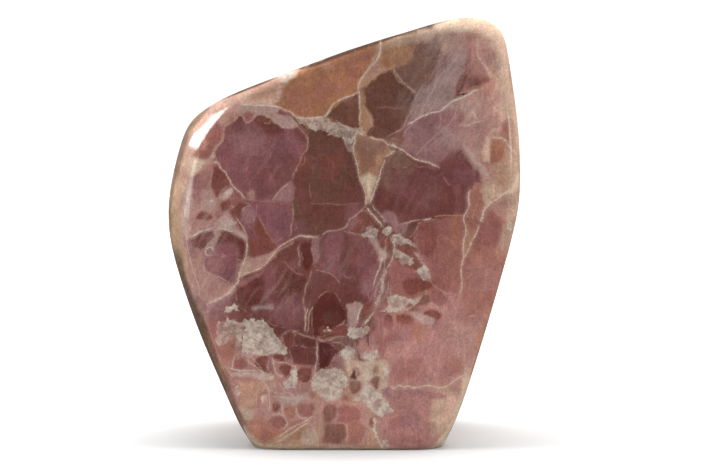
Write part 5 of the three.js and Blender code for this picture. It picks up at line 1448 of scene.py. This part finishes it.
# Factors that lighten or darken the stone
MOTTLE_PALE = (1.15, 1.14, 1.14, 1)
MOTTLE_DEEP = (0.86, 0.84, 0.84, 1)
STREAK_PALE = (1.2, 1.2, 1.22, 1)
CRUMB_DARK = (0.62, 0.55, 0.53, 1)

# Paints of the finer markings, in the usual 0-255 steps
CRACK_PAINT = (208, 172, 158)
SEAM_PAINT = (196, 162, 144)
SILK_PAINT = (214, 188, 176)
CHALK_DEEP = (166, 142, 132)
CHALK_PALE = (214, 200, 184)
CHALK_RIM = (206, 192, 174)

# How strongly each of the finer markings shows
CRACK_SHARE = 0.05
SEAM_SHARE = 0.38
SPECK_SHARE = 0.3
SILK_SHARE = 0.36
HALO_SHARE = 0.2
CHALK_RIM_SHARE = 0.25
CHALK_SHARE = 0.88

# Sizes of the grain, in millimetres
FRAGMENT_SIZE = 4.2
FRAGMENT_BEND = 1.4
GRAIN_SIZE = 0.4
FACET_SIZE = 0.6
CRUMB_RELIEF = 0.15

# The polish: roughness of clear stone, and what mottling, chalk and dull edges add to it
POLISH = 0.08
MOTTLE_ROUGH = 0.06
CHALK_ROUGH = 0.3
DULL_ROUGH = 0.5
GLOSS = 0.4
DULL_GLOSS_LOSS = -0.38


class Nodes:
    """A small helper that places and joins shader nodes."""

    def __init__(self, tree):
        self.tree = tree

    def add(self, kind, **settings):
        """A new node, with its settings."""
        node = self.tree.nodes.new(kind)
        for name, value in settings.items():
            setattr(node, name, value)
        return node

    def join(self, value, socket):
        """Gives a socket a value, or the result of another node."""
        if isinstance(value, bpy.types.NodeSocket):
            self.tree.links.new(value, socket)
        else:
            socket.default_value = value

    def math(self, operation, *values):
        """A sum of up to three values."""
        node = self.add("ShaderNodeMath", operation=operation)
        for value, socket in zip(values, node.inputs):
            self.join(value, socket)
        return node.outputs[0]

    def mix(self, share, a, b, blend="MIX"):
        """One colour, giving way to another by a share."""
        node = self.add("ShaderNodeMix", data_type="RGBA", blend_type=blend)
        self.join(share, node.inputs[0])
        self.join(a, node.inputs[6])
        self.join(b, node.inputs[7])
        return node.outputs[2]

    def step(self, low, high, value):
        """A smooth rise from 0 at low to 1 at high."""
        node = self.add("ShaderNodeMapRange", interpolation_type="SMOOTHSTEP")
        self.join(value, node.inputs[0])
        self.join(low, node.inputs[1])
        self.join(high, node.inputs[2])
        return node.outputs[0]

    def marks(self, name):
        """Three numbers that mark_stone wrote."""
        node = self.add("ShaderNodeAttribute", attribute_name=name)
        return node.outputs["Vector"]

    def parts(self, vector):
        """The three numbers of a vector or colour."""
        node = self.add("ShaderNodeSeparateXYZ")
        self.join(vector, node.inputs[0])
        return node.outputs

    def tint(self, share, colour, factor):
        """Multiplies a colour by a factor where the share says so."""
        return self.mix(1.0, colour, self.mix(share, WHITE, factor), "MULTIPLY")

    def scale(self, colour, shade):
        """Multiplies a colour by one number."""
        node = self.add("ShaderNodeVectorMath", operation="SCALE")
        self.join(colour, node.inputs[0])
        self.join(shade, node.inputs["Scale"])
        return node.outputs[0]

    def turned(self, place, kind, scale, tilt=0):
        """Stretches a pattern, and tilts it sideways by an angle in degrees."""
        node = self.add("ShaderNodeMapping", vector_type=kind)
        node.inputs["Rotation"].default_value = (0, math.radians(tilt), 0)
        node.inputs["Scale"].default_value = scale
        self.join(place, node.inputs["Vector"])
        return node.outputs[0]

    def voronoi(self, place, size, feature):
        """Small cells of about the given size in millimetres."""
        node = self.add("ShaderNodeTexVoronoi", feature=feature)
        self.join(place, node.inputs["Vector"])
        node.inputs["Scale"].default_value = 1 / (size * MM)
        return node

    def noise(self, place, size, detail, roughness, output="Fac"):
        """Soft clouds of about the given size in millimetres."""
        node = self.add("ShaderNodeTexNoise")
        self.join(place, node.inputs["Vector"])
        node.inputs["Scale"].default_value = 1 / (size * MM)
        node.inputs["Detail"].default_value = detail
        node.inputs["Roughness"].default_value = roughness
        return node.outputs[output]

    def uneven(self, place, size, detail, roughness):
        """Soft clouds that swing evenly above and below 0."""
        return self.math("SUBTRACT", self.noise(place, size, detail, roughness), 0.5)

    def ramp(self, value, stops):
        """The colour that lies at a value between stops."""
        node = self.add("ShaderNodeValToRGB")
        elements = node.color_ramp.elements
        while len(elements) < len(stops):
            elements.new(0.5)
        for element, (position, colour) in zip(elements, stops):
            element.position = position
            element.color = colour
        self.join(value, node.inputs[0])
        return node.outputs[0]


def paint(colour):
    """A colour in the usual 0-255 steps, as a socket takes it."""
    return (*from_srgb(colour), 1.0)


def mottling(n, place, colour):
    """Soft paler and deeper spots, a few millimetres wide."""
    mottle = n.noise(place, size=3.6, detail=2.5, roughness=0.55)
    colour = n.tint(n.step(0.52, 0.74, mottle), colour, MOTTLE_PALE)
    colour = n.tint(n.step(0.5, 0.24, mottle), colour, MOTTLE_DEEP)
    return colour, mottle


def upright_streaks(n, place, colour):
    """Faint pale streaks that stand upright."""
    upright = n.turned(place, "POINT", scale=(1.0, 1.0, 0.12))
    streak = n.noise(upright, size=0.9, detail=3.0, roughness=0.6)
    return n.tint(n.step(0.5, 0.72, streak), colour, STREAK_PALE)


def healed_fragments(n, place, colour):
    """Small fragments of slightly different shade, with hardly visible healed cracks between them."""
    bend = n.add("ShaderNodeVectorMath", operation="MULTIPLY_ADD")
    n.join(n.noise(place, size=3.0, detail=2.0, roughness=0.6, output="Color"), bend.inputs[0])
    bend.inputs[1].default_value = [FRAGMENT_BEND * MM] * 3
    n.join(place, bend.inputs[2])
    fragment = n.voronoi(bend.outputs[0], FRAGMENT_SIZE, "F1")
    shade = n.math("MULTIPLY_ADD", n.parts(fragment.outputs["Color"])[0], 0.18, 0.91)
    colour = n.scale(colour, shade)
    crack = n.voronoi(bend.outputs[0], FRAGMENT_SIZE, "DISTANCE_TO_EDGE")
    open_here = n.step(0.46, 0.66, n.noise(place, size=7.0, detail=2.0, roughness=0.5))
    crack = n.math("MULTIPLY", n.step(0.05, 0.0, crack.outputs["Distance"]), open_here)
    return n.mix(n.math("MULTIPLY", crack, CRACK_SHARE), colour, paint(CRACK_PAINT))


def fine_grain(n, place, colour):
    """The grain of the stone, finer than a millimetre."""
    grain = n.parts(n.voronoi(place, GRAIN_SIZE, "F1").outputs["Color"])[0]
    soft = n.math("MULTIPLY", n.noise(place, size=0.7, detail=1.0, roughness=0.6), 0.2)
    grain = n.math("MULTIPLY_ADD", grain, 0.3, soft)
    return n.scale(colour, n.math("ADD", grain, 0.75))


def cell_seams(n, place, colour, ragged, distance):
    """A fine broken seam, a little paler than the stone, along the crisp cell borders."""
    distance = n.math("ABSOLUTE", n.math("MULTIPLY_ADD", ragged, 0.7, distance))
    broken = n.step(0.46, 0.6, n.noise(place, size=2.6, detail=2.0, roughness=0.6))
    share = n.math("MULTIPLY", n.step(0.3, 0.04, distance), n.math("MULTIPLY", broken, SEAM_SHARE))
    return n.mix(share, colour, paint(SEAM_PAINT))


def silky_haze(n, place, colour, dust):
    """Clouds of fine pale specks in a silky haze that leans to the right."""
    silk = n.turned(place, "TEXTURE", scale=(1.0, 1.0, 7.0), tilt=32)
    wide = n.step(0.42, 0.68, n.noise(silk, size=1.6, detail=4.0, roughness=0.65))
    speck = n.step(0.5, 0.72, n.noise(place, size=0.55, detail=3.0, roughness=0.75))
    share = n.math("MULTIPLY_ADD", speck, SPECK_SHARE, n.math("MULTIPLY", wide, SILK_SHARE))
    return n.mix(n.math("MULTIPLY", dust, share), colour, paint(SILK_PAINT))


def pale_veins(n, place, colour, ragged, set_count):
    """Every set of veins: a thin broken core in a faint halo."""
    ragged = n.math("ADD", n.uneven(place, size=0.45, detail=2.0, roughness=0.7), ragged)
    broken = n.step(0.38, 0.6, n.noise(place, size=1.1, detail=5.0, roughness=0.8))
    broken = n.math("MULTIPLY_ADD", broken, 0.7, 0.55)
    stops = [(TONES[tone], paint(colour)) for tone, colour in VEIN_PAINT.items()]
    for number in range(set_count):
        ratio, strength, tone = n.parts(n.marks(f"veins {number}"))
        ratio = n.math("ABSOLUTE", n.math("MULTIPLY_ADD", ragged, 2.6, ratio))
        core = n.math("MULTIPLY", n.step(1.15, 0.45, ratio), broken)
        halo = n.math("MULTIPLY", n.step(4.5, 0.6, ratio), HALO_SHARE)
        share = n.math("MULTIPLY", n.math("MAXIMUM", core, halo), strength)
        colour = n.mix(share, colour, n.ramp(tone, stops))
    return colour


def chalk_body(n, place, border, soft, crumb):
    """The sugary stuff of a chalky patch: small facets of low contrast, a few dark crumbs."""
    body = n.mix(n.step(0.34, 0.66, soft), paint(CHALK_DEEP), paint(CHALK_PALE))
    facets = n.parts(n.voronoi(place, FACET_SIZE, "F1").outputs["Color"])[0]
    body = n.scale(body, n.math("MULTIPLY_ADD", facets, 0.4, 0.82))
    rim = n.math("MULTIPLY", n.step(0.8, 0.1, border), CHALK_RIM_SHARE)
    body = n.mix(rim, body, paint(CHALK_RIM))
    return n.tint(n.step(0.33, 0.25, crumb), body, CRUMB_DARK)


def chalky_patches(n, place, colour, ragged):
    """Whitish patches with ragged borders, and with holes where they are thin."""
    inside, whiteness, _ = n.parts(n.marks("chalk"))
    lace = n.uneven(place, size=2.0, detail=5.0, roughness=0.75)
    border = n.math("MULTIPLY_ADD", ragged, 1.3, n.math("MULTIPLY_ADD", lace, 3.4, inside))
    soft = n.noise(place, size=2.4, detail=4.0, roughness=0.65)
    crumb = n.noise(place, size=0.8, detail=2.0, roughness=0.6)
    thin = n.math("SUBTRACT", 1.0, whiteness)
    holes = n.math("MULTIPLY", n.step(0.56, 0.4, soft), thin)
    share = n.math("MULTIPLY", n.step(-0.15, 0.3, border), whiteness)
    share = n.math("MULTIPLY", share, n.math("SUBTRACT", 1.0, holes))
    share = n.math("MULTIPLY", share, CHALK_SHARE)
    return n.mix(share, colour, chalk_body(n, place, border, soft, crumb)), share, crumb


def polish(n, surface, mottle, chalk, dull):
    """A high polish on clear stone, weaker on the chalky patches and the dull edges."""
    surface.inputs["IOR"].default_value = 1.5
    n.join(n.math("MULTIPLY_ADD", dull, DULL_GLOSS_LOSS, GLOSS), surface.inputs["Specular IOR Level"])
    rough = n.math("MULTIPLY_ADD", chalk, CHALK_ROUGH, n.math("MULTIPLY_ADD", dull, DULL_ROUGH, POLISH))
    n.join(n.math("MULTIPLY_ADD", mottle, MOTTLE_ROUGH, rough), surface.inputs["Roughness"])


def crumb_relief(n, surface, chalk, crumb):
    """The slight relief of the crumbs in the chalky patches."""
    relief = n.add("ShaderNodeBump")
    relief.inputs["Strength"].default_value = 0.35
    relief.inputs["Distance"].default_value = CRUMB_RELIEF * MM
    n.join(n.math("MULTIPLY", crumb, chalk), relief.inputs["Height"])
    n.join(relief.outputs[0], surface.inputs["Normal"])


def calcite_material(set_count):
    """Polished calcite: cells of plum to salmon, pale veins and granular chalky patches."""
    material = bpy.data.materials.new("polished calcite")
    material.use_nodes = True
    tree = material.node_tree
    tree.nodes.clear()
    n = Nodes(tree)
    place = n.add("ShaderNodeTexCoord").outputs["Object"]
    ragged = n.uneven(place, size=0.9, detail=3.0, roughness=0.7)
    seam, dust, dull = n.parts(n.marks("touch"))

    colour, mottle = mottling(n, place, n.marks("ground"))
    colour = upright_streaks(n, place, colour)
    colour = healed_fragments(n, place, colour)
    colour = fine_grain(n, place, colour)
    colour = cell_seams(n, place, colour, ragged, seam)
    colour = silky_haze(n, place, colour, dust)
    colour = pale_veins(n, place, colour, ragged, set_count)
    colour, chalk, crumb = chalky_patches(n, place, colour, ragged)

    surface = n.add("ShaderNodeBsdfPrincipled")
    n.join(colour, surface.inputs["Base Color"])
    polish(n, surface, mottle, chalk, dull)
    crumb_relief(n, surface, chalk, crumb)
    output = n.add("ShaderNodeOutputMaterial")
    n.join(surface.outputs[0], output.inputs["Surface"])
    return material


def show(thing, name):
    """Puts a mesh, light or camera in the scene as an object."""
    shown = bpy.data.objects.new(name, thing)
    bpy.context.scene.collection.objects.link(shown)
    return shown


def make_stone():
    """The stone, with its markings, in the place of its solid."""
    mesh = stone_mesh()
    mesh.transform(Matrix.Scale(MM, 4))
    stone = show(mesh, "stone")
    set_count = mark_stone(mesh)
    mesh.materials.append(calcite_material(set_count))
    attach(stone, "root")
    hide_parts("calcite")


# ---------------------------------------------------------------------------------------------
# Floor, light and camera
# ---------------------------------------------------------------------------------------------

FLOOR_RADIUS = 0.5
FLOOR_GREY = 0.6
TENT_GLOW = 0.12  # what the light tent gives the stone
TENT_SEEN = 1.0  # how much brighter its walls look

CAMERA_AIM = Vector((2.84, -16.2, 60.6)) * MM
CAMERA_DISTANCE = 0.9
CAMERA_ELEVATION = math.radians(10.5)
CAMERA_LENS = 163
CAMERA_SENSOR = 36


def make_floor():
    """A round pale floor."""
    bm = bmesh.new()
    bmesh.ops.create_circle(bm, cap_ends=True, segments=96, radius=FLOOR_RADIUS)
    mesh = bpy.data.meshes.new("floor")
    bm.to_mesh(mesh)
    bm.free()
    floor = show(mesh, "floor")
    material = bpy.data.materials.new("pale floor")
    material.use_nodes = True
    surface = material.node_tree.nodes["Principled BSDF"]
    surface.inputs["Base Color"].default_value = (FLOOR_GREY, FLOOR_GREY, FLOOR_GREY, 1)
    surface.inputs["Roughness"].default_value = 0.9
    surface.inputs["Specular IOR Level"].default_value = 0.0
    mesh.materials.append(material)
    floor.visible_glossy = False  # its glare would veil the foot of the stone


def add_softbox(name, place, aim, size, power, upright=(0, 0, 1), only_gloss=False):
    """A rectangular light, in metres and watts, turned to face a point."""
    light = bpy.data.lights.new(name, "AREA")
    light.shape = "RECTANGLE"
    light.size, light.size_y = size
    light.energy = power
    lamp = show(light, name)
    lamp.location = place
    back = (Vector(place) - Vector(aim)).normalized()
    across = Vector(upright).cross(back).normalized()
    lamp.rotation_euler = Matrix((across, back.cross(across), back)).transposed().to_euler()
    lamp.visible_diffuse = not only_gloss


def make_softboxes():
    """A wide light overhead, two weak ones in front, and the glow on the left shoulder."""
    add_softbox(
        "overhead",
        place=(0.0, 0.15, 1.2),
        aim=(0, 0, 0.05),
        size=(2.4, 0.6),
        power=55.0,
        upright=(0, 1, 0),
    )
    for name, x in (("front left", -1.2), ("front right", 1.2)):
        add_softbox(name, place=(x, -1.2, 0.18), aim=(0, 0, 0.06), size=(0.5, 0.4), power=3.4)
    add_softbox(
        "left glow",
        place=(-0.82, -0.26, 0.49),
        aim=(-0.04, -0.015, 0.087),
        size=(0.75, 0.28),
        power=16.0,
        only_gloss=True,
    )


def make_tent():
    """A white light tent all around."""
    world = bpy.data.worlds.new("light tent")
    bpy.context.scene.world = world
    world.use_nodes = True
    n = Nodes(world.node_tree)
    sky = world.node_tree.nodes["Background"]
    seen = n.add("ShaderNodeLightPath")
    strength = n.math("MULTIPLY_ADD", seen.outputs["Is Camera Ray"], TENT_SEEN, TENT_GLOW)
    n.join(strength, sky.inputs["Strength"])
    sky.inputs["Color"].default_value = WHITE


def make_camera():
    """The camera, a little above the stone and far away."""
    camera = bpy.data.cameras.new("camera")
    camera.lens = CAMERA_LENS
    camera.sensor_width = CAMERA_SENSOR
    holder = show(camera, "camera")
    back = Vector((0, -math.cos(CAMERA_ELEVATION), math.sin(CAMERA_ELEVATION)))
    holder.location = CAMERA_AIM + back * CAMERA_DISTANCE
    holder.rotation_euler = (-back).to_track_quat("-Z", "Y").to_euler()
    bpy.context.scene.camera = holder


make_camera()
make_softboxes()
make_tent()
make_floor()
make_stone()
bpy.context.scene.view_settings.view_transform = "Standard"
